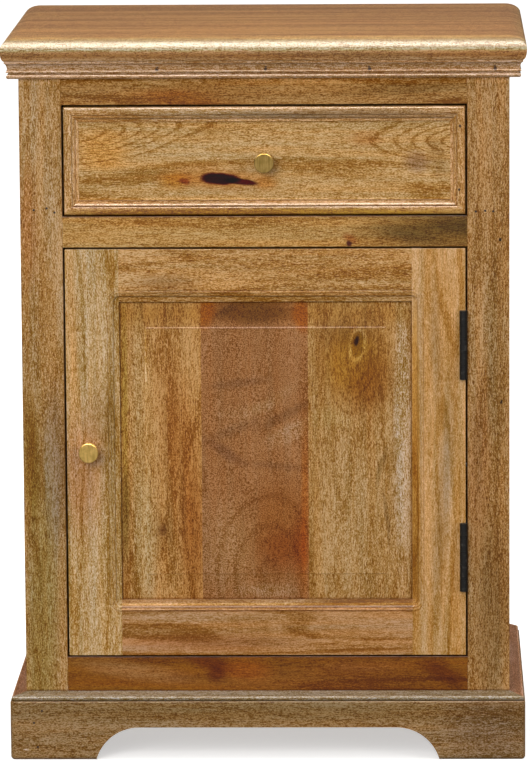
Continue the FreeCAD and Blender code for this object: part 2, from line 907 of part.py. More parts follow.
def drawer_side(lap_front):
    return box(
        (drawer_box_inner, drawer_box_half),
        (lap_front, drawer_box_back),
        (drawer_box_low, drawer_box_high),
    )


def drawer():
    lap_front = drawer_front_back - drawer_lap
    side = drawer_side(lap_front)
    groove_half = drawer_box_inner + drawer_bottom_groove
    bottom = box(
        (-groove_half + groove_play, groove_half - groove_play),
        (lap_front + groove_play, drawer_box_back),
        (drawer_bottom_low, drawer_bottom_high),
    )
    groove = box(
        (-groove_half, groove_half),
        (lap_front, drawer_box_back + OVERRUN),
        (drawer_bottom_low, drawer_bottom_high),
    )
    board = box((-drawer_half, drawer_half), (drawer_face, drawer_front_back), (drawer_low, drawer_high))
    back_board = box(
        (-drawer_box_inner, drawer_box_inner),
        (drawer_box_back - drawer_board_thickness, drawer_box_back),
        (drawer_bottom_high, drawer_box_high - drawer_back_drop),
    )
    nodes = drawer_strips()
    nodes["drawer_front"] = board.cut([side, mirrored(side), groove])
    nodes["drawer_side_right"] = side.cut(groove)
    nodes["drawer_side_left"] = mirrored(side.cut(groove))
    nodes["drawer_back"] = back_board
    nodes["drawer_bottom"] = bottom
    return nodes


# ---------------------------------------------------------------- knobs

def knob(x, face, z):
    """Turned knob with a flat round head, standing forward of the face at y = face."""
    head_back = knob_projection - knob_head_thickness
    head_flat = knob_radius - knob_round
    throat = knob_neck_radius + knob_round
    profile = run(
        (0.0, 0.0),
        (knob_base_radius, 0.0),
        (knob_base_radius, knob_base_height),
        ((knob_neck_radius, knob_base_height), (knob_neck_radius, head_back / 2)),
        ((knob_neck_radius, head_back), (throat, head_back)),
        (head_flat, head_back),
        ((knob_radius, head_back), (knob_radius, head_back + knob_round)),
        (knob_radius, knob_projection - knob_round),
        ((knob_radius, knob_projection), (head_flat, knob_projection)),
        (0.0, knob_projection),
    )
    return revolved(
        profile, lambda r, w: Vector(x + r, face - w, z), (x, face, z), (0, 1, 0)
    )


def knob_screw(x, face, z, board_back):
    """Pan-head screw from the back of the board into the knob."""
    shank = rod((x, face - knob_screw_in, z), (0, 1, 0), knob_screw_radius,
                board_back - face + knob_screw_in)
    head = rod((x, board_back, z), (0, 1, 0), knob_screw_head_radius, knob_screw_head_height)
    head_edge = [edge for edge in head.Edges if edge.BoundBox.YMin > board_back + arris]
    head = head.makeFillet(arris, head_edge)
    return joined([shank, head])


# ---------------------------------------------------------------- hinges

def knuckle_spans(low):
    pitch = hinge_length / hinge_knuckles
    return [(low + index * pitch, low + (index + 1) * pitch) for index in range(hinge_knuckles)]


def hinge_leaf(low, x, first, bore):
    """One leaf with every second knuckle, counted from first."""
    plate = box(x, (hinge_notch, hinge_leaf_end), (low, low + hinge_length))
    solids = [plate]
    spans = knuckle_spans(low)
    for index in range(first, hinge_knuckles, 2):
        start = spans[index][0] + (hinge_play / 2 if index > 0 else 0.0)
        end = spans[index][1] - (hinge_play / 2 if index < hinge_knuckles - 1 else 0.0)
        solids.append(rod((hinge_x, hinge_y, start), (0, 0, 1), hinge_barrel_radius, end - start))
        solids.append(box(x, (hinge_y, hinge_notch + OVERRUN), (start, end)))
    return joined(solids).cut(rod((hinge_x, hinge_y, low), (0, 0, 1), bore, hinge_length))


def frame_leaf(low):
    return hinge_leaf(low, (opening_half - hinge_leaf_thickness, opening_half), 0, hinge_pin_radius)


def door_leaf(low):
    bore = hinge_pin_radius + hinge_pin_play
    return hinge_leaf(low, (door_half - hinge_leaf_thickness, door_half), 1, bore)


def leaf_bed(low):
    """Mortise for a leaf in the edge of the door."""
    return box(
        (door_half - hinge_leaf_thickness, door_half + OVERRUN),
        (front - OVERRUN, hinge_leaf_end),
        (low, low + hinge_length),
    )


def wood_screw(head_centre, direction):
    """Countersunk slotted screw with its head face at head_centre."""
    centre, along = Vector(*head_centre), Vector(*direction)
    head = Part.makeCone(wood_screw_head_radius, wood_screw_radius, wood_screw_head_height,
                         centre, along)
    shank_length = wood_screw_length - wood_screw_point_length
    shank = Part.makeCylinder(wood_screw_radius, shank_length, centre, along)
    tip = Part.makeCone(wood_screw_radius, wood_screw_point_radius, wood_screw_point_length,
                        centre + along * shank_length, along)
    return joined([head, shank, tip])


def screw_slot(head_centre, direction):
    """Slot across the head of a wood screw, as a cutter."""
    centre, along = Vector(*head_centre), Vector(*direction)
    across = Vector(0, 0, 1) if abs(along.z) < 1 else Vector(1, 0, 0)
    side = along.cross(across)
    half = wood_screw_head_radius + OVERRUN
    corners = [
        centre + across * half + side * (wood_screw_slot_width / 2),
        centre - across * half + side * (wood_screw_slot_width / 2),
        centre - across * half - side * (wood_screw_slot_width / 2),
        centre + across * half - side * (wood_screw_slot_width / 2),
    ]
    face = Part.Face(Part.makePolygon(corners + corners[:1]))
    return face.extrude(along * wood_screw_slot_depth)


def screws_at(heads, direction):
    """Blank screws, which cut their own holes, and the same screws with slots."""
    blanks = [wood_screw(head, direction) for head in heads]
    slotted = [blank.cut(screw_slot(head, direction)) for blank, head in zip(blanks, heads)]
    return blanks, slotted


def hinge_screw_heads(x, low):
    y = hinge_leaf_end - hinge_screw_setback
    usable = hinge_length - 2 * hinge_screw_margin
    steps = range(hinge_screw_count)
    pitch = usable / max(hinge_screw_count - 1, 1)
    return [(x, y, low + hinge_screw_margin + index * pitch) for index in steps]


def hinge_pin(low):
    return rod((hinge_x, hinge_y, low), (0, 0, 1), hinge_pin_radius, hinge_length)


# ---------------------------------------------------------------- catch

catch_left = -opening_half + catch_from_side
catch_front = door_back + strike_thickness + catch_gap
catch_low = door_opening_top - catch_height


def catch_magnet():
    return box(
        (catch_left, catch_left + catch_length),
        (catch_front, catch_front + catch_depth),
        (catch_low, door_opening_top),
    )


def catch_strike():
    middle = catch_left + catch_length / 2
    high = door_high - strike_inset
    return box(
        (middle - strike_length / 2, middle + strike_length / 2),
        (door_back, door_back + strike_thickness),
        (high - strike_height, high),
    )


def catch_screw_heads():
    y = catch_front + catch_depth / 2
    ends = (catch_left + catch_screw_margin, catch_left + catch_length - catch_screw_margin)
    return [(x, y, catch_low) for x in ends]


def strike_screw_heads():
    middle = catch_left + catch_length / 2
    z = door_high - strike_inset - strike_height / 2
    return [(middle, door_back + strike_thickness, z)]


# ---------------------------------------------------------------- nails and top screws

def nail(x, y, z):
    """Finish nail driven to the back, with its head at y."""
    head = rod((x, y, z), (0, 1, 0), nail_head_radius, nail_head_height)
    shank = rod((x, y, z), (0, 1, 0), nail_radius, nail_length)
    return joined([head, shank])


def finish_nails():
    """Nails through the posts into the middle rail, and through cornice and left foot."""
    rail_top = drawer_opening_bottom
    post_nails = [(-carcass_half + across, rail_top + up) for across, up in left_post_nails]
    post_nails += [(opening_half + across, rail_top + up) for across, up in right_post_nails]
    foot_nails = [(-plinth_half + across, up) for across, up in left_foot_nails]
    cornice_low = top_under - cornice_height
    cove_low = cornice_low + cornice_bead + cornice_quirk + cornice_band
    cove_rise = top_under - cornice_fillet - cove_low
    nail_z = cove_low + cove_rise / 2
    cove_run = cornice_projection - cornice_cove_seat
    cove_face = cornice_projection - cove_run * math.sqrt(3) / 2
    cornice_nails = [(share * carcass_half, nail_z) for share in cornice_nail_shares]
    return (
        [nail(x, front, z) for x, z in post_nails]
        + [nail(x, plinth_front_face, z) for x, z in foot_nails]
        + [nail(x, front - cove_face, z) for x, z in cornice_nails]
    )


def top_screws():
    """Screws up through the kickers into the top board."""
    low = drawer_opening_top + top_screw_counterbore
    first = front_post_back + top_screw_end_margin
    last = back_post_front - top_screw_end_margin
    pitch = (last - first) / max(top_screw_count - 1, 1)
    x = (runner_inner + side_inner) / 2
    length = top_under - low + top_screw_bite
    right = []
    bores = []
    for index in range(top_screw_count):
        foot = (x, first + index * pitch, low)
        head = Part.makeCone(top_screw_head_radius, top_screw_radius, top_screw_head_height,
                             Vector(*foot))
        right.append(joined([head, rod(foot, (0, 0, 1), top_screw_radius, length)]))
        bore_foot = (x, first + index * pitch, drawer_opening_top - OVERRUN)
        bores.append(rod(bore_foot, (0, 0, 1), top_screw_head_radius,
                         top_screw_counterbore + OVERRUN))
    screws = right + [mirrored(screw) for screw in right]
    return screws, bores + [mirrored(bore) for bore in bores]


# ---------------------------------------------------------------- assembly

def build():
    nodes = {"top_board": top_board()}
    nodes.update(cornice())
    nodes.update(plinth())
    nodes.update(plinth_cap())
    nodes.update(carcass())
    nodes.update(door_frame())
    nodes.update(door_boards())
    nodes.update(drawer())

    def let_in(tools, *names):
        for name in names:
            nodes[name] = nodes[name].cut(tools)

    pins = shelf_pins()
    let_in(pins, "post_front_left", "post_front_right", "post_back_left", "post_back_right")
    nodes["shelf_pins"] = Part.Compound(pins)

    knob_x = -door_half + door_knob_inset
    knob_z = (door_low + door_high) / 2 + door_knob_rise
    drawer_z = (drawer_low + drawer_high) / 2 - drawer_knob_drop
    for name, place, board_back, board in (
        ("door_knob", (knob_x, front, knob_z), door_back, "door_stile_left"),
        ("drawer_knob", (0.0, drawer_face, drawer_z), drawer_front_back, "drawer_front"),
    ):
        screw = knob_screw(*place, board_back)
        nodes[name] = knob(*place).cut(screw)
        nodes[name + "_screw"] = screw
        let_in([screw], board)

    nodes["hinge_frame_leaves"] = Part.Compound([frame_leaf(low) for low in hinge_lows])
    nodes["hinge_door_leaves"] = Part.Compound([door_leaf(low) for low in hinge_lows])
    nodes["hinge_pins"] = Part.Compound([hinge_pin(low) for low in hinge_lows])
    let_in([leaf_bed(low) for low in hinge_lows], "door_stile_right")
    nodes["catch_magnet"] = catch_magnet()
    nodes["catch_strike"] = catch_strike()

    frame_heads = []
    door_heads = []
    for low in hinge_lows:
        frame_heads += hinge_screw_heads(opening_half - hinge_leaf_thickness, low)
        door_heads += hinge_screw_heads(door_half, low)
    frame_blanks, frame_screws = screws_at(frame_heads, (1, 0, 0))
    catch_blanks, catch_screws = screws_at(catch_screw_heads(), (0, 0, 1))
    door_blanks, door_screws = screws_at(door_heads, (-1, 0, 0))
    strike_blanks, strike_screws = screws_at(strike_screw_heads(), (0, -1, 0))
    let_in(frame_blanks, "hinge_frame_leaves", "post_front_right")
    let_in(catch_blanks, "catch_magnet", "rail_front_middle")
    let_in(door_blanks, "hinge_door_leaves", "door_stile_right")
    let_in(strike_blanks, "catch_strike", "door_rail_top", "door_stile_left")
    nodes["frame_wood_screws"] = Part.Compound(frame_screws + catch_screws)
    nodes["door_wood_screws"] = Part.Compound(door_screws + strike_screws)

    screws, counterbores = top_screws()
    let_in(screws + counterbores, "drawer_kicker_left", "drawer_kicker_right")
    let_in(screws, "top_board")
    nodes["top_fixing_screws"] = Part.Compound(screws)

    nails = finish_nails()
    let_in(nails, "post_front_left", "post_front_right", "rail_front_middle", "rail_front_top",
           "plinth_front", "cornice_front")
    nodes["finish_nails"] = Part.Compound(nails)
    return nodes


def export(nodes):
    os.makedirs("parts", exist_ok=True)
    for name, shape in sorted(nodes.items()):
        solids = shape.Solids
        whole = solids[0] if len(solids) == 1 else Part.Compound(solids)
        whole.exportStep("parts/" + name + ".step")
        size = whole.BoundBox
        extent = (size.XLength, size.YLength, size.ZLength)
        print(name, len(solids), "valid" if whole.isValid() else "INVALID",
              " x ".join("%.1f" % length for length in extent))
    print(len(nodes), "nodes")


export(build())
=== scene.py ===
"""Finish, stage and camera of a mango wood side table with a drawer and a cupboard door."""

import math

import bmesh
import bpy
from bpy.props import FloatProperty, FloatVectorProperty, PointerProperty
from mathutils import Matrix, Vector


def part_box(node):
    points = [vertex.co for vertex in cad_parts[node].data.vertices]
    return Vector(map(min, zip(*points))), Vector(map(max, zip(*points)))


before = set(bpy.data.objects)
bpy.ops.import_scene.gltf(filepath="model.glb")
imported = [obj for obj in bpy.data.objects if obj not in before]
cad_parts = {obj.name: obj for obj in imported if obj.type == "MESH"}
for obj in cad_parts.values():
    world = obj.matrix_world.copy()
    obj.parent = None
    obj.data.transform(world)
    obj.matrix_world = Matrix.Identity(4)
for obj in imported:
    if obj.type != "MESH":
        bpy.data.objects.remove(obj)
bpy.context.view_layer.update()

bl_info = {
    "name": "Side table finishes",
    "version": (1, 0, 0),
    "blender": (4, 5, 0),
    "location": "View3D > Sidebar > Side Table",
    "description": "Stained mango wood, brass and black iron finishes for a side table",
    "category": "Object",
}

MM = 0.001

PANEL_TONGUE = 7.5              # of the raised door panel, hidden in the frame, in mm
PANEL_BORDER = 29.1             # its bevel and half of the step up to the field, in mm
GAP = 1.5                       # round the door and the drawer, in mm
CORNICE_NAILS = (-116.5, 2.7, 116.5, 254.7)     # x of the filled heads on the cornice, in mm

# How a board's own directions lie in the room: along the grain, through the board, across it.
GRAIN_TURN = {
    "x": (0.0, 0.0, 0.0),
    "y": (0.0, 0.0, math.pi / 2),
    "z": (0.0, -math.pi / 2, 0.0),
}

# Share of the board's colour at each step from a dark streak to a pale one.
STAIN_STEPS = (
    (0.12, (0.50, 0.32, 0.00)),
    (0.36, (0.80, 0.70, 0.34)),
    (0.50, (1.00, 1.00, 1.00)),
    (0.66, (1.19, 1.26, 1.58)),
    (0.86, (1.46, 1.72, 2.90)),
)
PORE_SHADE = (0.60, 0.42, 0.08)

# Stained mango drifts between golden and grey-brown bands along the grain.
GOLDEN_SHARE = (1.12, 0.98, 0.76)
GREYED_SHARE = (0.92, 1.00, 1.16)

BAND_CONTRAST = 1.15
SPECKLE_CONTRAST = 2.3
EDGE_HIGHLIGHT_SHARE = (1.28, 1.32, 1.38)       # painted highlight along an edge that catches the light
LIT_EDGE_SHADE_SHARE = (0.80, 0.78, 0.76)          # painted shade on a narrow edge that faces up, to tone down its highlight
CREST_HIGHLIGHT_SHARE = (1.45, 1.50, 1.60)         # painted highlight along the crest or edge of a moulding
SHADE_LINE_SHARE = (0.55, 0.47, 0.36)         # painted shade along a quirk or groove, or under a strip
STRONG_HIGHLIGHT_SHARE = (1.7, 2.0, 2.3)            # a brighter painted highlight, on a bead or the main crest of a moulding
GAP_SHADE_SHARE = (0.42, 0.34, 0.28)     # painted shade in a gap or a corner
SHEEN = 0.010                   # linear light that the wax adds, so marks are stained deeper
EDGE_SWAY = 6.0                 # raggedness of the edge of a knot or stain, in mm
GRAIN_SWAY = (5, 16, 16)        # bends in a metre along the grain, through the board and across
THROUGH = 1e3                   # half depth of a mark in m, so that it goes right through its board

# The camera looks a little down and to the left. Its place is in m and its angles in degrees.
EYE_PLACE = (0.1715, -6.4151, 1.4183)
EYE_DOWN = 9.055
EYE_LEFT = 1.585
EYE_ROLL = -0.396
LIGHTS_AIM = (0.0, 0.0, 0.42)
FLOOR_REACH = 60.0              # from the table to the edge of the paper floor, in m


def linear(code):
    """Turn an sRGB hex colour into linear light."""
    channels = (int(code[i : i + 2], 16) / 255 for i in (1, 3, 5))
    return tuple(c / 12.92 if c <= 0.04045 else ((c + 0.055) / 1.055) ** 2.4 for c in channels)


def add(tree, kind, inputs=None, stops=None, **settings):
    """Add a shader node, set it up, and fill or link its inputs."""
    node = tree.nodes.new("ShaderNode" + kind)
    for name, value in settings.items():
        setattr(node, name, value)
    if stops:
        ramp = node.color_ramp.elements
        for index, (place, colour) in enumerate(stops):
            step = ramp[index] if index < len(ramp) else ramp.new(place)
            step.position = place
            step.color = (*colour, 1.0)
    for key, value in (inputs or {}).items():
        if isinstance(key, int):
            socket = node.inputs[key]
        else:
            socket = next(s for s in node.inputs if s.enabled and s.name == key)
        if isinstance(value, bpy.types.Node):
            value = next(s for s in value.outputs if s.enabled)
        if isinstance(value, bpy.types.NodeSocket):
            tree.links.new(value, socket)
        else:
            socket.default_value = value
    return node


def maths(tree, operation, *values):
    """Work out a number from up to three others."""
    return add(tree, "Math", dict(enumerate(values)), operation=operation)


def mixed(tree, cover, first, second, kind="MIX"):
    """Mix two colours, or multiply the first by the second, as far as cover says."""
    inputs = {"Factor": cover, "A": first, "B": second}
    return add(tree, "Mix", inputs, data_type="RGBA", blend_type=kind)


def noise(tree, vector, scale, detail):
    """Smooth noise with about scale blobs in a metre."""
    return add(tree, "TexNoise", {"Vector": vector, "Scale": scale, "Detail": detail}).outputs[0]


def new_material(name):
    """Start a node material and give back the material and its empty tree."""
    material = bpy.data.materials.new(name)
    material.use_nodes = True
    material.node_tree.nodes.clear()
    return material, material.node_tree


def finish(tree, inputs):
    """End a material in one Principled surface."""
    surface = add(tree, "BsdfPrincipled", inputs)
    add(tree, "OutputMaterial", {"Surface": surface})


def dress(node, material):
    """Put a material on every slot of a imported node."""
    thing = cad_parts.get(node)
    if thing is None:
        raise RuntimeError(f"the frame has no node named {node}")
    if not thing.material_slots:
        thing.data.materials.append(None)
    for slot in thing.material_slots:
        slot.material = material


def middle(node):
    """The middle of a node's box, in m."""
    low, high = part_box(node)
    return (low + high) / 2


def top_of(node):
    """The height of a node's upper edge, in mm."""
    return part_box(node)[1].z / MM


def rgba(colour):
    """A colour with full cover, as shader sockets take it."""
    return (*colour, 1.0)


def outline(first, last, grow, thick, share):
    """A line for mango round the front of two nodes, such as the two stiles of the door, in mm."""
    low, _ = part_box(first)
    _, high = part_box(last)
    centre, half = (low + high) / 2 / MM, (high - low) / 2 / MM
    return (centre.x, centre.z, half.x + grow, half.z + grow, thick, share)


def level(z, thick, share):
    """A level line for mango, right across the front, at the height z in mm."""
    return (0, z, 400, 0, thick, share)


CAP_TOP = top_of("plinth_cap_front")
# Painted shade round the foot of the frame, where it stands behind the ledge.
FOOT_SHADE_LINE = (0, CAP_TOP / 2, 400, CAP_TOP / 2, 2.2, GAP_SHADE_SHARE)
# Painted light: a pale line on the boards just under the cornice, lifting the shade it casts.
UNDER_CORNICE_LIGHT = level(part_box("cornice_front")[0].z / MM - 1.3, 7, (1.9, 1.95, 2.1))
# Painted shade on the edges of the gaps round the door and the drawer, to darken the gaps.
GAP_SHADE_LINES = tuple(
    outline(first, last, GAP, 1.6, GAP_SHADE_SHARE)
    for first, last in (
        ("door_stile_left", "door_stile_right"),
        ("drawer_moulding_left", "drawer_moulding_right"),
    )
)


def seed_of(node):
    """A number of its own for each board, the same on every run."""
    return sum((i + 1) * ord(c) for i, c in enumerate(node)) % 97 * 1.37


def ellipse(tree, vector, x, z, half_x, half_z, turn, inner, outer, height):
    """A soft ellipse that is height inside inner times its half sizes and 0 outside outer times."""
    spot = add(
        tree,
        "Mapping",
        {
            "Vector": vector,
            "Location": (x * MM, 0, z * MM),
            "Rotation": (0, math.radians(turn), 0),
            "Scale": (half_x * MM, THROUGH, half_z * MM),
        },
        vector_type="TEXTURE",
    )
    away = add(tree, "VectorMath", {0: spot}, operation="LENGTH").outputs["Value"]
    return add(
        tree,
        "MapRange",
        {"Value": away, "From Min": inner, "From Max": outer, "To Min": height, "To Max": 0.0},
        interpolation_type="SMOOTHSTEP",
    )


def with_marks(tree, place, skin, marks, colour):
    """Stain knots and spots into a skin whose own colour is the given one."""
    if not marks:
        return skin
    edge = add(tree, "TexNoise", {"Vector": place, "Scale": 55.0, "Detail": 3.0}).outputs["Color"]
    sway = (EDGE_SWAY * MM,) * 3
    loose = add(tree, "VectorMath", {0: edge, 1: sway, 2: place}, operation="MULTIPLY_ADD")
    for x, z, half_x, half_z, turn, stain, strength, soft in marks:
        # The noise moves an edge by half its sway on average, so the spot is moved back.
        x, z = x + EDGE_SWAY / 2, z + EDGE_SWAY / 2
        cover = ellipse(tree, loose, x, z, half_x, half_z, turn, 1.0 - soft, 1.0 + soft, strength)
        tint = tuple(max(0.0, s - SHEEN) / c for s, c in zip(linear(stain), colour))
        skin = mixed(tree, cover, skin, rgba(tint), "MULTIPLY")
    return skin


def with_fades(tree, place, skin, fades):
    """Let the colour of a skin change toward the front, as painted sheen."""
    if not fades:
        return skin
    y = add(tree, "SeparateXYZ", {0: place}).outputs["Y"]
    for start, end, share in fades:
        cover = add(tree, "MapRange", {"Value": y, "From Min": start * MM, "From Max": end * MM})
        skin = mixed(tree, cover, skin, rgba(share), "MULTIPLY")
    return skin


def with_lines(tree, place, skin, lines):
    """Paint lines of highlight and shade on a skin, each round a rectangle that faces the front."""
    if not lines:
        return skin
    flat = add(tree, "SeparateXYZ", {0: place})
    for x, z, half_x, half_z, thick, share in lines:
        past = []
        for axis, centre, half in (("X", x, half_x), ("Z", z, half_z)):
            off = maths(tree, "SUBTRACT", flat.outputs[axis], centre * MM)
            off = maths(tree, "ABSOLUTE", off)
            past.append(maths(tree, "SUBTRACT", off, half * MM))
        off = maths(tree, "ABSOLUTE", maths(tree, "MAXIMUM", *past))
        edge = {"Value": off, "From Min": 0.2 * thick * MM, "From Max": thick * MM}
        cover = add(tree, "MapRange", {**edge, "To Min": 1.0, "To Max": 0.0})
        skin = mixed(tree, cover, skin, rgba(share), "MULTIPLY")
    return skin


def mango(
    node,
    colour,
    grain,
    figure=(420, 45, 5),
    bands=(260, 22),
    fleck=(2.2, 0.95),
    hairs=0.5,
    rings=0.14,
    streaks=0.9,
    speckle=1.0,
    pores=0.6,
    pore_share=0.6,
    wander=8.0,
    drift=0.6,
    hills=(),
    marks=(),
    lines=(),
    fades=(),
    base="brushed_stained_mango",
    gloss=0.42,
    coat=0.06,
    coat_matt=0.3,
):
    """Give one board mango wood, brushed open and stained: speckled, with short dark pores, satin waxed.

    figure is the length and width of the growth figure in mm and its number of lines, bands the length
    and width of the bands of stain, fleck those of the finest specks. hairs, rings, streaks, speckle
    and pores say how strongly each of these shows, pore_share how few pores there are, wander how far
    the grain sways in mm and drift how much the colour drifts from gold to grey.

    Growth lines close round each of the hills, at (x, z, half width, half height, turn, height).
    Marks are knots and stains at (x, z, half width, half height, turn, colour, strength, soft edge),
    in mm and degrees. Lines are painted highlights and shade round a rectangle, at (x, z, half width,
    half height, line width, share of the colour). A fade is the y where the colour starts to change, the y
    where it has its full share, and that share."""
    material, tree = new_material(f"{base}_{node}")
    seed = seed_of(node)
    place = add(tree, "TexCoord").outputs["Object"]
    own = add(
        tree,
        "Mapping",
        {"Vector": place, "Location": middle(node), "Rotation": GRAIN_TURN[grain]},
        vector_type="TEXTURE",
    )
    # The grain wanders sideways a few millimetres over a hand's length.
    sway = add(
        tree, "VectorMath", {0: own, 1: GRAIN_SWAY, 2: (seed,) * 3}, operation="MULTIPLY_ADD"
    )
    sway = add(tree, "TexNoise", {"Vector": sway, "Scale": 1.0, "Detail": 2.0}).outputs["Color"]
    reach = (0, wander * MM, wander * MM)
    path = add(tree, "VectorMath", {0: sway, 1: reach, 2: own}, operation="MULTIPLY_ADD")

    def along(length, width, detail=0.0, roughness=0.5):
        """Noise drawn out along the grain, from the real length and width of its marks in mm."""
        rate = (1 / (length * MM), 1 / (width * MM), 1 / (width * MM))
        start = (seed + width,) * 3
        at = add(tree, "VectorMath", {0: path, 1: rate, 2: start}, operation="MULTIPLY_ADD")
        texture = {"Vector": at, "Scale": 1.0, "Detail": detail, "Roughness": roughness}
        return add(tree, "TexNoise", texture).outputs[0]

    broad = along(*bands, 3.0, 0.55)
    hair = along(5 * fleck[0], 1.3 * fleck[1], 1.0)
    fine = along(*fleck, 2.0, 0.65)
    # Growth lines are the height lines of a smooth swelling, so they close into arches and eyes.
    length, width, year_count = figure
    swelling = along(length, width, 1.0)
    for *hill, height in hills:
        swelling = maths(tree, "ADD", swelling, ellipse(tree, place, *hill, 0.0, 1.0, height))
    years = maths(tree, "SINE", maths(tree, "MULTIPLY", swelling, year_count * math.tau))
    # Late wood is a thin dark line in wide pale early wood.
    years = add(tree, "MapRange", {"Value": years, "From Min": 0.5, "To Min": 0.3, "To Max": -1.0})
    parts = (
        (broad, streaks * BAND_CONTRAST),
        (hair, hairs * speckle * SPECKLE_CONTRAST),
        (fine, speckle * SPECKLE_CONTRAST),
    )
    tone = 0.5 - 0.5 * sum(weight for _, weight in parts)
    for part, weight in (*parts, (years, rings)):
        tone = maths(tree, "MULTIPLY_ADD", part, weight, tone)

    stops = [(at, tuple(min(1.0, c * k) for c, k in zip(colour, share))) for at, share in STAIN_STEPS]
    skin = add(tree, "ValToRGB", {0: tone}, stops=stops)
    band = add(tree, "MapRange", {"Value": along(170, 8, 2.0), "From Min": 0.32, "From Max": 0.68})
    band = mixed(tree, band, rgba(GOLDEN_SHARE), rgba(GREYED_SHARE))
    skin = mixed(tree, drift, skin, band, "MULTIPLY")
    skin = with_marks(tree, place, skin, marks, colour)
    skin = with_fades(tree, place, skin, fades)
    skin = with_lines(tree, place, skin, lines)

    # Mango's pores are about 0.3 mm wide. They are drawn 1 mm wide so that they show.
    dash = {"Value": along(4.2, 1.0), "From Min": pore_share, "From Max": pore_share + 0.1}
    dash = add(tree, "MapRange", {**dash, "To Max": pores})
    skin = mixed(tree, dash, skin, rgba(PORE_SHADE), "MULTIPLY")
    relief = maths(tree, "MULTIPLY_ADD", dash, -1.0, fine)
    bump = add(tree, "Bump", {"Strength": 0.35, "Distance": 0.0004, "Height": relief})
    matt = add(tree, "MapRange", {"Value": tone, "To Min": gloss + 0.1, "To Max": gloss - 0.1})
    finish(
        tree,
        {
            "Base Color": skin,
            "Roughness": matt,
            "Normal": bump,
            "IOR": 1.48,
            "Specular IOR Level": 0.2,
            "Coat Weight": coat,
            "Coat Roughness": coat_matt,
        },
    )
    dress(node, material)


def plain_timber(nodes, colour, grain, base="planed_mango_oiled"):
    """Inside boards: planed, oiled, not stained, so paler and more even."""
    for node in nodes:
        mango(
            node,
            colour,
            grain,
            rings=0.16,
            streaks=0.6,
            speckle=0.63,
            pores=0.5,
            base=base,
            gloss=0.55,
            coat=0.0,
        )


def colour_property(name, description, code):
    """A setting for a colour, from its sRGB hex code."""
    return FloatVectorProperty(
        name=name,
        description=description,
        subtype="COLOR",
        size=3,
        min=0.0,
        max=1.0,
        default=linear(code),
    )


def power_property(name, description, watts):
    """A setting for the power of a light."""
    return FloatProperty(
        name=name, description=description, default=watts, subtype="POWER", unit="POWER"
    )


def glow_property(name, description, strength):
    """A setting for the strength of a glow."""
    return FloatProperty(name=name, description=description, default=strength, min=0.0)


class TimberColours(bpy.types.PropertyGroup):
    top_board: colour_property("Top board", "Honey brown of the top", "#9A6520")
    cornice: colour_property("Cornice", "Moulding under the top", "#A98356")
    rail_top: colour_property("Top rail", "Rail over the drawer", "#9B6F34")
    rail_middle: colour_property("Middle rail", "Rail between drawer and door", "#AC803F")
    rail_bottom: colour_property("Bottom rail", "Red-brown rail under the door", "#7B4809")
    post_left: colour_property("Left posts", "Grey-tan corner posts", "#A9834E")
    post_right: colour_property("Right posts", "Brown corner posts", "#A57A42")
    side: colour_property("Sides", "Side rails and side panels", "#A87F4A")
    plinth: colour_property("Plinth", "Grey-brown base boards", "#8D6B3C")
    plinth_cap_side: colour_property("Side ledge", "Redder ledge along the sides", "#A8744A")
    plinth_cap: colour_property("Plinth ledge", "Moulded ledge on the base boards", "#8B7959")
    drawer_board: colour_property("Drawer front", "Golden tan drawer board", "#B28A4E")
    drawer_edge: colour_property("Drawer moulding", "Strips round the drawer board", "#BF945C")
    stile_left: colour_property("Left stile", "Door stile with the knob", "#B6945F")
    stile_right: colour_property("Right stile", "Peach door stile with the hinges", "#BC8F55")
    door_rail_top: colour_property("Door top rail", "Rail with strong dashes", "#B18549")
    door_rail_bottom: colour_property("Door bottom rail", "Smooth orange-brown rail", "#A67844")
    panel_left: colour_property("Left panel board", "Olive-yellow brown board", "#AC7C3E")
    panel_middle: colour_property("Middle panel board", "Red-brown board", "#946232")
    panel_right: colour_property("Right panel board", "Tan board with an eye knot", "#AA7F44")
    inside: colour_property("Inside", "Unstained boards inside", "#B8925F")
    drawer_box: colour_property("Drawer box", "Sides and back of the drawer", "#BD986A")
    thin_board: colour_property("Thin board", "Plywood back and drawer bottom", "#B59468")


class MetalColours(bpy.types.PropertyGroup):
    brass: colour_property("Brass", "Olive brass of the knobs", "#B89858")
    tarnish: colour_property("Tarnish", "Duller patches on the brass", "#94793E")
    iron: colour_property("Black iron", "Japanned hinges", "#12100E")
    steel: colour_property("Steel", "Zinc-plated screws", "#B9BABC")
    nail: colour_property("Nail heads", "Oxidised steel in the wood", "#3A2215")


class StageSettings(bpy.types.PropertyGroup):
    floor: colour_property("Floor", "Pale paper floor", "#F4F3F1")
    floor_glow: glow_property("Floor glow", "Light that the floor gives off itself", 0.5)
    front_power: power_property("Front softbox", "Power of the large light in front", 140.0)
    side_power: power_property("Side softbox", "Power of the light on the right", 40.0)
    top_power: power_property("Top softbox", "Power of the strip light overhead", 12.0)
    back_power: power_property("Back softbox", "Power of the weak light behind", 30.0)
    shine_power: power_property("Overhead shine", "Power of the sheet that only shows in gloss", 460.0)
    ceiling: glow_property("Ceiling light", "Room light from straight above", 0.9)
    ground: glow_property("Ground light", "Room light from below", 0.15)
    room_front: glow_property("Floor in gloss", "Brightness in gloss of the floor in front", 0.6)
    room_back: glow_property("Room in gloss", "Brightness in gloss of all the rest", 0.06)
    lens: FloatProperty(
        name="Lens",
        description="Focal length of the camera",
        default=267.2,
        subtype="DISTANCE_CAMERA",
        unit="CAMERA",
    )


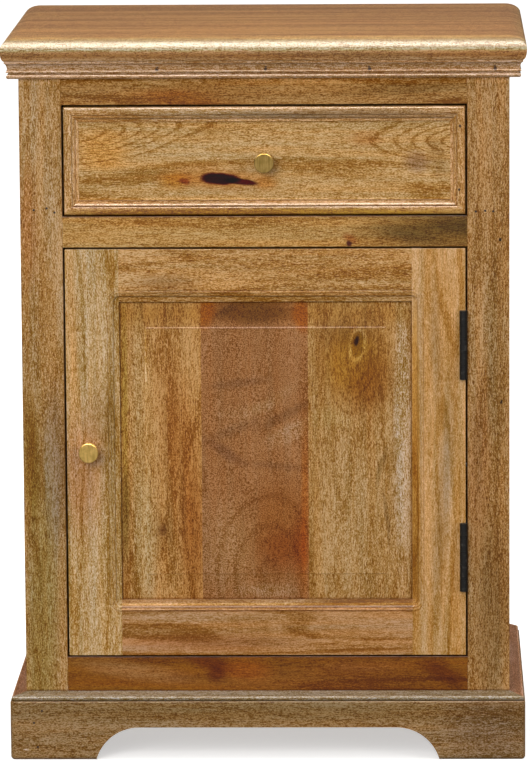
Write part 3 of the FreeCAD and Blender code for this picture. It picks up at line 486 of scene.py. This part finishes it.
class SIDETABLE_OT_top(bpy.types.Operator):
    """Finish the top board and the cornice under it"""

    bl_idname = "side_table.top"
    bl_label = "Top and cornice"

    def execute(self, context):
        c = context.scene.timber_colours
        top = top_of("top_board")
        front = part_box("top_board")[0].y / MM
        mango(
            "top_board",
            c.top_board,
            "x",
            figure=(900, 60, 5),
            bands=(520, 30),
            fleck=(2.0, 0.9),
            streaks=1.8,
            speckle=1.7,
            pores=0.5,
            wander=5,
            marks=((0, top - 22.5, 900, 9.5, 0, "#B37236", 0.8, 0.08),),
            # Painted highlights in pale lines on the round, a darker line below them, and a pale line of
            # painted light at its foot, which faces down.
            lines=(
                level(top - 26, 6, EDGE_HIGHLIGHT_SHARE),
                level(top - 17.5, 4.8, (0.62, 0.5, 0.26)),
                level(top - 11, 2.4, (1.25, 1.6, 2.6)),
                level(top - 6, 6.5, (0.95, 1.2, 2.2)),
            ),
            # Painted sheen: paler toward the front, palest where the round begins, and darker on the
            # round's face.
            fades=(
                (front + 360, front + 10, (1.28, 1.3, 1.3)),
                (front + 50, front + 24, (1.5, 2.0, 3.6)),
                (front + 19, front + 8, (0.49, 0.5, 0.5)),
            ),
            coat=0.56,
            coat_matt=0.5,
        )
        for side, grain in (("front", "x"), ("left", "y"), ("right", "y")):
            marks = ()
            if side == "front":
                z = top_of("cornice_front") - 9.5
                marks = [(x, z, 1.9, 1.9, 0, "#2E1A10", 0.9, 0.4) for x in CORNICE_NAILS]
            mango(
                f"cornice_{side}",
                c.cornice,
                grain,
                fleck=(1.6, 0.9),
                rings=0.1,
                streaks=1.0,
                speckle=1.5,
                pores=0.7,
                marks=marks,
                gloss=0.34,
                coat=0.5,
            )
        return {"FINISHED"}


class SIDETABLE_OT_posts(bpy.types.Operator):
    """Finish the four corner posts"""

    bl_idname = "side_table.posts"
    bl_label = "Corner posts"

    def execute(self, context):
        c = context.scene.timber_colours
        mango(
            "post_front_left",
            c.post_left,
            "z",
            pores=0.7,
            pore_share=0.58,
            marks=(
                (-262, 330, 8, 70, 0, "#8A6A22", 0.7, 0.5),
                (-252, 150, 16, 190, 2, "#907A40", 0.7, 0.6),
                (-236, 330, 13, 90, 0, "#806850", 0.6, 0.5),
                (-262, 600, 10, 60, 0, "#B07A48", 0.6, 0.6),
            ),
            # Painted shade at the foot and round the gaps, and painted light under the cornice.
            lines=(FOOT_SHADE_LINE, *GAP_SHADE_LINES, UNDER_CORNICE_LIGHT),
        )
        mango(
            "post_front_right",
            c.post_right,
            "z",
            streaks=1.1,
            speckle=1.3,
            pores=0.7,
            pore_share=0.58,
            marks=(
                (260, 584, 1.4, 2.2, 0, "#2A1A10", 0.9, 0.4),
                (262.3, 402, 1.4, 2.0, 0, "#2A1A10", 0.9, 0.4),
                (236, 330, 12, 90, 3, "#8C5C30", 0.5, 0.6),
                (250, 170, 18, 110, 0, "#6E5028", 0.55, 0.6),
                (255, 440, 10, 110, 0, "#8A7248", 0.5, 0.6),
            ),
            # Painted shade at the foot and round the gaps, and painted light under the cornice.
            lines=(FOOT_SHADE_LINE, *GAP_SHADE_LINES, UNDER_CORNICE_LIGHT),
        )
        for node, colour in (("post_back_left", c.post_left), ("post_back_right", c.post_right)):
            mango(node, colour, "z", speckle=1.3, pores=0.85)
        return {"FINISHED"}


class SIDETABLE_OT_front_rails(bpy.types.Operator):
    """Finish the three rails of the front frame"""

    bl_idname = "side_table.front_rails"
    bl_label = "Front rails"

    def execute(self, context):
        c = context.scene.timber_colours
        mango(
            "rail_front_top",
            c.rail_top,
            "x",
            rings=0.25,
            streaks=1.1,
            speckle=1.3,
            marks=(
                (-92, 742, 46, 9, 4, "#8A5018", 0.7, 0.6),
                (-60, 748, 60, 12, 0, "#8C5C26", 0.5, 0.6),
                (150, 752, 60, 6, -3, "#6E5026", 0.5, 0.6),
            ),
            # Painted shade round the gaps, and painted light under the cornice.
            lines=(*GAP_SHADE_LINES, UNDER_CORNICE_LIGHT),
        )
        mango(
            "rail_front_middle",
            c.rail_middle,
            "x",
            rings=0.12,
            streaks=0.8,
            speckle=1.1,
            marks=(
                (205, 596, 92, 20, 0, "#62461C", 0.8, 0.6),
                (222, 600, 40, 9, 0, "#5C421C", 0.6, 0.7),
                (160, 590, 30, 8, 10, "#684E28", 0.5, 0.7),
                (93.5, 580, 3.2, 3.4, 0, "#4A180C", 0.95, 0.4),
                (95, 586, 8, 4.5, 30, "#94501E", 0.7, 0.6),
            ),
            # Painted shade round the gaps.
            lines=GAP_SHADE_LINES,
        )
        mango(
            "rail_front_bottom",
            c.rail_bottom,
            "x",
            rings=0.22,
            streaks=1.0,
            speckle=0.7,
            pores=0.5,
            marks=(
                (-66, 108, 24, 8, 12, "#5E2A18", 0.75, 0.6),
                (-58, 94, 9, 10, 20, "#52200F", 0.7, 0.6),
                (-25, 100, 26, 12, 0, "#8E4A1C", 0.6, 0.7),
                (196, 96, 26, 10, 30, "#5A2A16", 0.75, 0.6),
                (-150, 98, 50, 9, 8, "#94683A", 0.6, 0.7),
                (40, 88, 110, 14, 0, "#8A5828", 0.5, 0.6),
                (110, 104, 40, 6, 0, "#93602E", 0.5, 0.7),
            ),
            # Painted shade at the foot and round the gaps.
            lines=(FOOT_SHADE_LINE, *GAP_SHADE_LINES),
        )
        return {"FINISHED"}


class SIDETABLE_OT_sides(bpy.types.Operator):
    """Finish the side rails and side panels"""

    bl_idname = "side_table.sides"
    bl_label = "Sides"

    def execute(self, context):
        c = context.scene.timber_colours
        for hand in ("left", "right"):
            mango(f"side_rail_top_{hand}", c.side, "y")
            mango(f"side_rail_bottom_{hand}", c.side, "y")
            mango(f"side_panel_{hand}", c.side, "z", figure=(380, 60, 7), rings=0.2)
        return {"FINISHED"}


class SIDETABLE_OT_plinth(bpy.types.Operator):
    """Finish the plinth boards and the ledge on them"""

    bl_idname = "side_table.plinth"
    bl_label = "Plinth"

    def execute(self, context):
        c = context.scene.timber_colours
        # A painted highlight on the bead of the side ledges, and one on the lower edge of the front ledge.
        side_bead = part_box("plinth_cap_right")[1].x / MM - 1.5
        bead_highlight = (0, CAP_TOP, side_bead, 900, 1.3, STRONG_HIGHLIGHT_SHARE)
        lower_edge_highlight = level(CAP_TOP - 9.9, 1.4, CREST_HIGHLIGHT_SHARE)
        for side, grain in (("front", "x"), ("left", "y"), ("right", "y")):
            marks = ()
            if side == "front":
                marks = (
                    (-267, 12.4, 7, 0.7, 0, "#D8C6A8", 0.8, 0.5),
                    (-20, 56, 280, 12, 0, "#74592F", 0.55, 0.7),
                    (248, 36, 46, 44, 0, "#7A6248", 0.6, 0.7),
                )
            mango(
                f"plinth_{side}",
                c.plinth,
                grain,
                rings=0.1,
                speckle=1.4,
                pores=0.7,
                marks=marks,
            )
            # Along the sides the ledge is redder, and has a painted highlight on its bead.
            along_side = side != "front"
            mango(
                f"plinth_cap_{side}",
                c.plinth_cap_side if along_side else c.plinth_cap,
                grain,
                fleck=(2.0, 0.9),
                rings=0.1,
                speckle=1.4,
                lines=(bead_highlight if along_side else lower_edge_highlight,),
                gloss=0.4,
                coat=0.2,
            )
        return {"FINISHED"}


class SIDETABLE_OT_door_frame(bpy.types.Operator):
    """Finish the stiles and rails of the door"""

    bl_idname = "side_table.door_frame"
    bl_label = "Door frame"

    def execute(self, context):
        c = context.scene.timber_colours
        mango(
            "door_stile_left",
            c.stile_left,
            "z",
            rings=0.16,
            streaks=0.8,
            speckle=0.84,
            marks=(
                (-206, 322, 22, 60, 0, "#A8764A", 0.7, 0.7),
                (-184, 380, 14, 40, 0, "#8E7048", 0.5, 0.7),
                (-216, 480, 7, 90, 0, "#BC8A4A", 0.6, 0.7),
            ),
        )
        mango(
            "door_stile_right",
            c.stile_right,
            "z",
            rings=0.16,
            speckle=0.56,
            pores=0.35,
            marks=(
                (166.5, 340, 4.5, 180, 0, "#AC7828", 0.7, 0.3),
                (198, 300, 8, 110, 4, "#8E7450", 0.55, 0.7),
                (190, 470, 6, 60, -2, "#94744A", 0.5, 0.7),
            ),
        )
        mango(
            "door_rail_top",
            c.door_rail_top,
            "x",
            rings=0.2,
            streaks=1.4,
            pores=0.9,
            pore_share=0.57,
            marks=((-110, 536, 34, 10, 0, "#866034", 0.6, 0.7),),
        )
        lip = top_of("door_rail_bottom")
        mango(
            "door_rail_bottom",
            c.door_rail_bottom,
            "x",
            rings=0.24,
            streaks=1.1,
            speckle=0.75,
            pores=0.45,
            marks=((-70, 130, 90, 9, 0, "#8A5028", 0.5, 0.7),),
            # Painted highlights on the crests and painted shade in the quirks of the moulding round the
            # panel.
            lines=(
                level(lip - 5.1, 1.8, STRONG_HIGHLIGHT_SHARE),
                level(lip - 7.5, 1.6, SHADE_LINE_SHARE),
                level(lip - 9.5, 1.2, CREST_HIGHLIGHT_SHARE),
                level(lip - 11.3, 1.2, SHADE_LINE_SHARE),
            ),
        )
        return {"FINISHED"}


class SIDETABLE_OT_door_panel(bpy.types.Operator):
    """Finish the three boards of the raised door panel"""

    bl_idname = "side_table.door_panel"
    bl_label = "Door panel"

    def execute(self, context):
        c = context.scene.timber_colours
        # The field starts inside the panel's tongue and bevelled border. Its edge gets a painted highlight.
        inset = PANEL_TONGUE + PANEL_BORDER
        ends = ("door_panel_board_left", "door_panel_board_right")
        edge = outline(*ends, -inset, 1.1, EDGE_HIGHLIGHT_SHARE)
        x, z, half_x, half_z, *_ = edge
        # Painted shade in the groove where the panel goes into the frame.
        groove_shade = outline(*ends, -PANEL_TONGUE, 2.6, SHADE_LINE_SHARE)
        edges = (
            edge,
            # Painted shade on the field's upper edge, which faces up, and a painted highlight on its left
            # edge.
            (x, z + half_z, half_x, 0, 1.6, LIT_EDGE_SHADE_SHARE),
            (x - half_x, z + half_z - 30, 0, 30, 1.5, (1.3, 1.5, 2.0)),
            groove_shade,
            # Painted shadow: the bevel above the field is darker, where the rail above shades it.
            level(top_of("door_panel_board_left") - 21, 20, (0.86, 0.76, 0.46)),
        )
        surface = {"lines": edges, "drift": 0.4, "gloss": 0.5, "coat": 0.0}
        mango(
            "door_panel_board_left",
            c.panel_left,
            "z",
            **surface,
            rings=0.2,
            streaks=0.85,
            speckle=1.2,
            marks=(
                (-158, 400, 4, 120, 0, "#9A7422", 0.6, 0.6),
                (-158, 270, 5, 50, 0, "#6E521A", 0.6, 0.6),
                (-140, 350, 14, 160, 0, "#B08A50", 0.6, 0.7),
                (-92, 330, 18, 110, -8, "#A0662C", 0.7, 0.7),
                (-84, 240, 12, 70, 0, "#965E26", 0.7, 0.6),
                (-116, 258, 5, 7, 0, "#7A4E26", 0.8, 0.6),
                (-116, 258, 11, 22, 0, "#8E6430", 0.6, 0.7),
                (-136, 240, 12, 70, 0, "#AC8A54", 0.6, 0.6),
                (-120, 500, 36, 16, 0, "#96682E", 0.4, 0.7),
            ),
        )
        mango(
            "door_panel_board_middle",
            c.panel_middle,
            "z",
            **surface,
            figure=(240, 140, 3),
            fleck=(1.3, 1.2),
            hairs=0.2,
            rings=0.13,
            wander=14,
            streaks=0.4,
            speckle=1.35,
            pores=0.1,
            hills=((0, 205, 84, 140, 0, 1.0), (-86, 320, 40, 70, -14, 0.5)),
            marks=(
                (-66, 503, 10, 17, 14, "#9A5808", 0.9, 0.5),
                (40, 500, 10, 17, -10, "#9A540C", 0.85, 0.5),
                (-13, 503, 40, 12, 0, "#6A4212", 0.85, 0.5),
                (-40, 508, 26, 4, -32, "#5E3A0C", 0.4, 0.7),
                (4, 402, 40, 6, -34, "#A67C4E", 0.4, 0.8),
                (-24, 392, 32, 6, -12, "#A0764A", 0.4, 0.8),
                (26, 374, 28, 4, -26, "#A0764A", 0.4, 0.8),
                (-30, 424, 30, 5, -8, "#7C5432", 0.6, 0.7),
                (22, 388, 34, 5, -28, "#79502C", 0.7, 0.6),
                (-34, 372, 30, 6, -20, "#7E5632", 0.6, 0.7),
                (26, 366, 26, 9, -26, "#A87E52", 0.55, 0.7),
                (-46, 346, 24, 6, 34, "#7A5030", 0.7, 0.6),
                (12, 330, 34, 4, 6, "#7E5430", 0.6, 0.7),
                (14, 262, 32, 50, 8, "#8A5426", 0.85, 0.6),
                (20, 236, 26, 22, 0, "#84481E", 0.7, 0.7),
                (-40, 236, 28, 44, 0, "#A07648", 0.65, 0.7),
                (43, 285, 4, 80, 0, "#A66428", 0.7, 0.7),
                (38, 236, 8, 40, 0, "#94501C", 0.7, 0.7),
                (0, 188, 26, 8, 0, "#A88258", 0.6, 0.7),
            ),
        )
        mango(
            "door_panel_board_right",
            c.panel_right,
            "z",
            **surface,
            rings=0.12,
            streaks=0.6,
            hills=((99, 455, 40, 96, 6, 1.0),),
            marks=(
                (98, 448, 38, 46, 8, "#966420", 0.9, 0.55),
                (116, 420, 20, 30, 20, "#8E5814", 0.7, 0.7),
                (84, 480, 24, 14, 0, "#7E5624", 0.5, 0.7),
                (102, 466, 9.5, 19, 8, "#D4B28A", 0.9, 0.2),
                (102.5, 467, 7, 15, 8, "#7C5220", 1.0, 0.15),
                (101.5, 470.5, 2.4, 6, 10, "#3C200C", 0.95, 0.35),
                (152, 380, 8, 140, 0, "#BAA078", 0.7, 0.7),
                (100, 270, 30, 90, 0, "#AC8C5A", 0.5, 0.7),
                (72, 384, 18, 12, 0, "#B08E54", 0.5, 0.7),
                (128, 330, 3, 20, 16, "#74501E", 0.6, 0.6),
                (134, 270, 2.4, 30, -6, "#76542A", 0.6, 0.6),
            ),
        )
        return {"FINISHED"}


class SIDETABLE_OT_drawer_front(bpy.types.Operator):
    """Finish the drawer front and its mitred moulding"""

    bl_idname = "side_table.drawer_front"
    bl_label = "Drawer front"

    def execute(self, context):
        c = context.scene.timber_colours
        # The board starts at the upper edge of the lower strip.
        lip = top_of("drawer_moulding_bottom")
        mango(
            "drawer_front",
            c.drawer_board,
            "x",
            figure=(420, 62, 5),
            bands=(340, 30),
            rings=0.26,
            streaks=0.25,
            pores=0.35,
            # Painted shade under the top strip, and a painted highlight on the board's lower edge.
            lines=(
                level(lip + 89.3, 5, SHADE_LINE_SHARE),
                level(lip + 0.9, 1.3, EDGE_HIGHLIGHT_SHARE),
            ),
            hills=(
                (-225, 702, 182, 40, -4, 1.2),
                (268, 694, 172, 38, 0, 1.3),
            ),
            marks=(
                (-178, 684, 26, 22, 0, "#C08638", 0.65, 0.6),
                (-58, 706, 16, 7, 0, "#A0702E", 0.5, 0.7),
                (-52, 653, 46, 12, 4, "#A6661E", 0.7, 0.6),
                (-100, 652, 17, 10, 0, "#AC701E", 0.8, 0.6),
                (-89, 650, 6, 3.2, 8, "#7E3608", 0.85, 0.5),
                (2, 648, 12, 8, 0, "#B07024", 0.6, 0.6),
                (-48, 653, 22, 7.4, 2, "#681C00", 1.0, 0.2),
                (-48, 653, 20, 6.2, 2, "#480E00", 1.0, 0.2),
                (-26, 649.5, 19, 3.8, 8, "#4C1200", 1.0, 0.25),
                (112, 697, 16, 8, 0, "#A0692E", 0.6, 0.7),
                (169, 671, 13, 11, 20, "#8C6842", 0.85, 0.6),
                (192, 676, 9, 22, -14, "#8E6A38", 0.6, 0.7),
                (150, 700, 24, 8, 0, "#B08A54", 0.5, 0.7),
            ),
        )
        for side, grain in (("top", "x"), ("bottom", "x"), ("left", "z"), ("right", "z")):
            marks = {
                "right": (
                    (216, 711.7, 1.3, 1.6, 0, "#2C180E", 0.9, 0.4),
                    (216.2, 641.7, 1.3, 1.6, 0, "#2C180E", 0.9, 0.4),
                ),
                "top": (
                    (90, 725, 130, 5, 0, "#78603E", 0.75, 0.6),
                    (-90, 725, 90, 4, 0, "#9A7C50", 0.5, 0.7),
                ),
                "bottom": ((0, 615.5, 260, 5.5, 0, "#9A6C1E", 0.95, 0.4),),
            }.get(side, ())
            # Painted shade in the two quirks of the lower strip.
            quirk_shades = (level(lip - 0.7, 1.6, SHADE_LINE_SHARE), level(lip - 6.7, 2.2, SHADE_LINE_SHARE))
            mango(
                f"drawer_moulding_{side}",
                c.drawer_edge,
                grain,
                fleck=(2.0, 0.9),
                rings=0.1,
                streaks=1.0,
                speckle=1.15,
                marks=marks,
                lines=quirk_shades if side == "bottom" else (),
                gloss=0.34,
                coat=0.5,
            )
        return {"FINISHED"}


class SIDETABLE_OT_drawer_box(bpy.types.Operator):
    """Finish the sides, back and bottom of the drawer"""

    bl_idname = "side_table.drawer_box"
    bl_label = "Drawer box"

    def execute(self, context):
        c = context.scene.timber_colours
        plain_timber(("drawer_side_left", "drawer_side_right"), c.drawer_box, "y")
        plain_timber(("drawer_back",), c.drawer_box, "x")
        plain_timber(("drawer_bottom",), c.thin_board, "x", base="sanded_plywood")
        return {"FINISHED"}


class SIDETABLE_OT_inside(bpy.types.Operator):
    """Finish the floor, shelf, runners and back panel"""

    bl_idname = "side_table.inside"
    bl_label = "Inside boards"

    def execute(self, context):
        c = context.scene.timber_colours
        plain_timber(("floor_board", "shelf"), c.inside, "x")
        for part in ("runner", "kicker"):
            plain_timber((f"drawer_{part}_left", f"drawer_{part}_right"), c.inside, "y")
        plain_timber(("back_panel",), c.thin_board, "z", base="sanded_plywood")
        return {"FINISHED"}


class SIDETABLE_OT_knobs(bpy.types.Operator):
    """Finish the two brass knobs"""

    bl_idname = "side_table.knobs"
    bl_label = "Knobs"

    def execute(self, context):
        c = context.scene.metal_colours
        # Painted light: the door's knob gets brighter brass than the drawer's, to make up for the light
        # each reflects.
        for node, light_share in (("door_knob", 1.55), ("drawer_knob", 0.84)):
            # Turned brass, brushed upright and lacquered: an even olive gold with faint streaks.
            material, tree = new_material(f"turned_lacquered_brass_{node}")
            place = add(tree, "TexCoord").outputs["Object"]
            # Brush marks are far finer than this; they are drawn 0.8 mm wide so that they show.
            brushed = add(
                tree,
                "Mapping",
                {"Vector": place, "Scale": (0.8 * MM, 14 * MM, 14 * MM)},
                vector_type="TEXTURE",
            )
            lines = noise(tree, brushed, 1.0, 2.0)
            dull = noise(tree, place, 1 / (7 * MM), 3.0)
            cover = maths(tree, "ADD", lines, dull)
            cover = add(tree, "MapRange", {"Value": cover, "From Min": 0.8, "From Max": 1.2})
            bright, dim = ([min(1.0, light_share * x) for x in metal] for metal in (c.brass, c.tarnish))
            skin = mixed(tree, cover, rgba(bright), rgba(dim))
            matt = add(tree, "MapRange", {"Value": dull, "To Min": 0.36, "To Max": 0.52})
            bump = add(tree, "Bump", {"Strength": 0.2, "Distance": 0.0001, "Height": lines})
            finish(tree, {"Base Color": skin, "Metallic": 1.0, "Roughness": matt, "Normal": bump})
            dress(node, material)
        return {"FINISHED"}


class SIDETABLE_OT_hinges(bpy.types.Operator):
    """Finish the two butt hinges and their pins"""

    bl_idname = "side_table.hinges"
    bl_label = "Hinges"

    def execute(self, context):
        c = context.scene.metal_colours
        # Iron with baked black japan: deep black, slightly orange-peeled, with grey spots that are partly
        # rubbed places and partly painted glints of the knuckles.
        material, tree = new_material("japanned_iron_hinge")
        place = add(tree, "TexCoord").outputs["Object"]
        peel = noise(tree, place, 1 / (2.2 * MM), 3.0)
        rub_and_glint = noise(tree, place, 1 / (5 * MM), 4.0)
        rub_and_glint = add(tree, "MapRange", {"Value": rub_and_glint, "From Min": 0.56, "From Max": 0.72, "To Max": 0.5})
        skin = mixed(tree, rub_and_glint, rgba(c.iron), rgba(linear("#4A4642")))
        matt = add(tree, "MapRange", {"Value": peel, "To Min": 0.35, "To Max": 0.65})
        bump = add(tree, "Bump", {"Strength": 0.6, "Distance": 0.0004, "Height": peel})
        surface = {"Base Color": skin, "Roughness": matt, "Normal": bump, "Specular IOR Level": 0.25}
        finish(tree, surface)
        for node in ("hinge_frame_leaves", "hinge_door_leaves", "hinge_pins"):
            dress(node, material)
        return {"FINISHED"}


class SIDETABLE_OT_fasteners(bpy.types.Operator):
    """Finish the screws, nails, shelf pins and the door catch"""

    bl_idname = "side_table.fasteners"
    bl_label = "Fasteners and catch"

    def execute(self, context):
        c = context.scene.metal_colours
        # Name of the finish: its colour, how metallic and how matt it is, and the nodes that have it.
        small_parts = {
            "zinc_plated_steel": (
                c.steel,
                1.0,
                0.32,
                ("top_fixing_screws", "shelf_pins", "catch_strike", "door_knob_screw", "drawer_knob_screw"),
            ),
            "black_oxide_steel": (c.iron, 1.0, 0.45, ("frame_wood_screws", "door_wood_screws")),
            "oxidised_steel_nail": (c.nail, 0.0, 0.7, ("finish_nails",)),
            "moulded_brown_nylon": (linear("#4A3324"), 0.0, 0.5, ("catch_magnet",)),
        }
        for name, (colour, metal, matt, nodes) in small_parts.items():
            material, tree = new_material(name)
            place = add(tree, "TexCoord").outputs["Object"]
            cloud = noise(tree, place, 1 / (3 * MM), 4.0)
            skin = mixed(tree, cloud, rgba(colour), rgba([0.6 * x for x in colour]))
            rough = add(tree, "MapRange", {"Value": cloud, "To Min": matt - 0.1, "To Max": matt + 0.1})
            bump = add(tree, "Bump", {"Strength": 0.15, "Distance": 0.0002, "Height": cloud})
            finish(tree, {"Base Color": skin, "Metallic": metal, "Roughness": rough, "Normal": bump})
            for node in nodes:
                dress(node, material)
        return {"FINISHED"}


class SIDETABLE_OT_stage(bpy.types.Operator):
    """Set the floor, the softboxes, the room light and the camera"""

    bl_idname = "side_table.stage"
    bl_label = "Stage and camera"

    def execute(self, context):
        s = context.scene.stage_settings
        scene = context.scene
        mesh = bpy.data.meshes.new("paper_floor")
        sheet = bmesh.new()
        bmesh.ops.create_grid(sheet, x_segments=1, y_segments=1, size=FLOOR_REACH)
        sheet.to_mesh(mesh)
        sheet.free()
        floor = bpy.data.objects.new("paper_floor", mesh)
        scene.collection.objects.link(floor)
        # Matt white paper with a very faint mottle.
        material, tree = new_material("matt_white_paper_floor")
        place = add(tree, "TexCoord").outputs["Object"]
        cloud = noise(tree, place, 3.0, 2.0)
        skin = mixed(tree, cloud, rgba(s.floor), rgba([0.97 * x for x in s.floor]))
        finish(
            tree,
            {
                "Base Color": skin,
                "Roughness": 0.9,
                "Specular IOR Level": 0.1,
                "Emission Color": (1, 1, 1, 1),
                "Emission Strength": s.floor_glow,
            },
        )
        mesh.materials.append(material)
        # The floor shows to the camera but throws no white light up at the table.
        floor.visible_diffuse = floor.visible_glossy = False

        # Each light's name, place and size in m, and power. Only the two overhead show in gloss.
        boxes = (
            ("front_softbox", (-1.5, -4.6, 2.3), (2.6, 2.6), s.front_power),
            ("side_softbox", (3.4, -3.0, 1.6), (1.8, 2.2), s.side_power),
            ("top_softbox", (0.0, -0.15, 2.9), (1.8, 0.6), s.top_power),
            ("shine_sheet", (0.0, -0.9, 2.8), (3.2, 2.6), s.shine_power),
            ("back_softbox", (1.0, 4.0, 2.2), (2.4, 2.4), s.back_power),
        )
        for name, at, (wide, deep), power in boxes:
            shine = name == "shine_sheet"
            lamp = bpy.data.lights.new(name, "AREA")
            lamp.shape = "RECTANGLE"
            lamp.size, lamp.size_y = wide, deep
            lamp.energy = power
            if shine:
                lamp.color = linear("#FFFAF4")
            thing = bpy.data.objects.new(name, lamp)
            thing.location = at
            thing.rotation_mode = "QUATERNION"
            thing.rotation_quaternion = (Vector(LIGHTS_AIM) - Vector(at)).to_track_quat("-Z", "Y")
            thing.visible_camera = False
            thing.visible_diffuse = not shine
            thing.visible_glossy = name in ("top_softbox", "shine_sheet")
            scene.collection.objects.link(thing)

        world = bpy.data.worlds.new("white_room")
        scene.world = world
        world.use_nodes = True
        tree = world.node_tree
        tree.nodes.clear()
        rays = add(tree, "LightPath")
        way = add(tree, "SeparateXYZ", {0: add(tree, "TexCoord").outputs["Generated"]})
        sky = {"Value": way.outputs["Z"], "From Min": -0.1, "From Max": 0.9}
        sky = add(tree, "MapRange", {**sky, "To Min": s.ground, "To Max": s.ceiling})
        # Gloss shows a pale floor in front and a dark room behind and above it, so that level faces
        # keep their colour at a low angle, from every side.
        low = maths(tree, "MULTIPLY_ADD", way.outputs["Z"], 1.2, way.outputs["Y"])
        shine = {"Value": low, "From Min": -1.1, "From Max": -0.5}
        shine = add(tree, "MapRange", {**shine, "To Min": s.room_front, "To Max": s.room_back})
        sky = add(tree, "Mix", {0: rays.outputs["Is Glossy Ray"], 2: sky, 3: shine}, data_type="FLOAT")
        soft = add(tree, "Background", {"Color": (1, 1, 1, 1), "Strength": sky})
        seen = add(tree, "Background", {"Color": (1, 1, 1, 1), "Strength": 1.0})
        both = add(tree, "MixShader", {0: rays.outputs["Is Camera Ray"], 1: soft, 2: seen})
        add(tree, "OutputWorld", {"Surface": both})

        eye = bpy.data.cameras.new("camera")
        eye.sensor_width = 36.0
        eye.lens = s.lens
        camera = bpy.data.objects.new("camera", eye)
        down, left, roll = (math.radians(angle) for angle in (EYE_DOWN, EYE_LEFT, EYE_ROLL))
        ahead = Vector(
            (-math.sin(left) * math.cos(down), math.cos(left) * math.cos(down), -math.sin(down))
        )
        right = Vector((math.cos(left), math.sin(left), 0.0))
        up = right.cross(ahead)
        side = right * math.cos(roll) + up * math.sin(roll)
        above = -right * math.sin(roll) + up * math.cos(roll)
        turn = Matrix((side, above, -ahead)).transposed()
        camera.matrix_world = Matrix.Translation(EYE_PLACE) @ turn.to_4x4()
        scene.collection.objects.link(camera)
        scene.camera = camera
        scene.view_settings.view_transform = "Standard"
        return {"FINISHED"}


OPERATORS = (
    SIDETABLE_OT_top,
    SIDETABLE_OT_posts,
    SIDETABLE_OT_front_rails,
    SIDETABLE_OT_sides,
    SIDETABLE_OT_plinth,
    SIDETABLE_OT_door_frame,
    SIDETABLE_OT_door_panel,
    SIDETABLE_OT_drawer_front,
    SIDETABLE_OT_drawer_box,
    SIDETABLE_OT_inside,
    SIDETABLE_OT_knobs,
    SIDETABLE_OT_hinges,
    SIDETABLE_OT_fasteners,
    SIDETABLE_OT_stage,
)
SETTINGS = {
    "timber_colours": TimberColours,
    "metal_colours": MetalColours,
    "stage_settings": StageSettings,
}


class SIDETABLE_PT_panel(bpy.types.Panel):
    """Lists the pieces of the side table and their colours"""

    bl_label = "Side Table"
    bl_idname = "SIDETABLE_PT_panel"
    bl_space_type = "VIEW_3D"
    bl_region_type = "UI"
    bl_category = "Side Table"

    def draw(self, context):
        layout = self.layout
        for operator in OPERATORS:
            layout.operator(operator.bl_idname)
        for name, group in SETTINGS.items():
            box = layout.box()
            for setting in group.__annotations__:
                box.prop(getattr(context.scene, name), setting)


def register():
    for group in (*SETTINGS.values(), *OPERATORS, SIDETABLE_PT_panel):
        bpy.utils.register_class(group)
    for name, group in SETTINGS.items():
        setattr(bpy.types.Scene, name, PointerProperty(type=group))


def unregister():
    for name in SETTINGS:
        delattr(bpy.types.Scene, name)
    for group in reversed((*SETTINGS.values(), *OPERATORS, SIDETABLE_PT_panel)):
        bpy.utils.unregister_class(group)


def main():
    register()
    for operator in OPERATORS:
        family, name = operator.bl_idname.split(".")
        getattr(getattr(bpy.ops, family), name)()


if __name__ == "__main__":
    main()
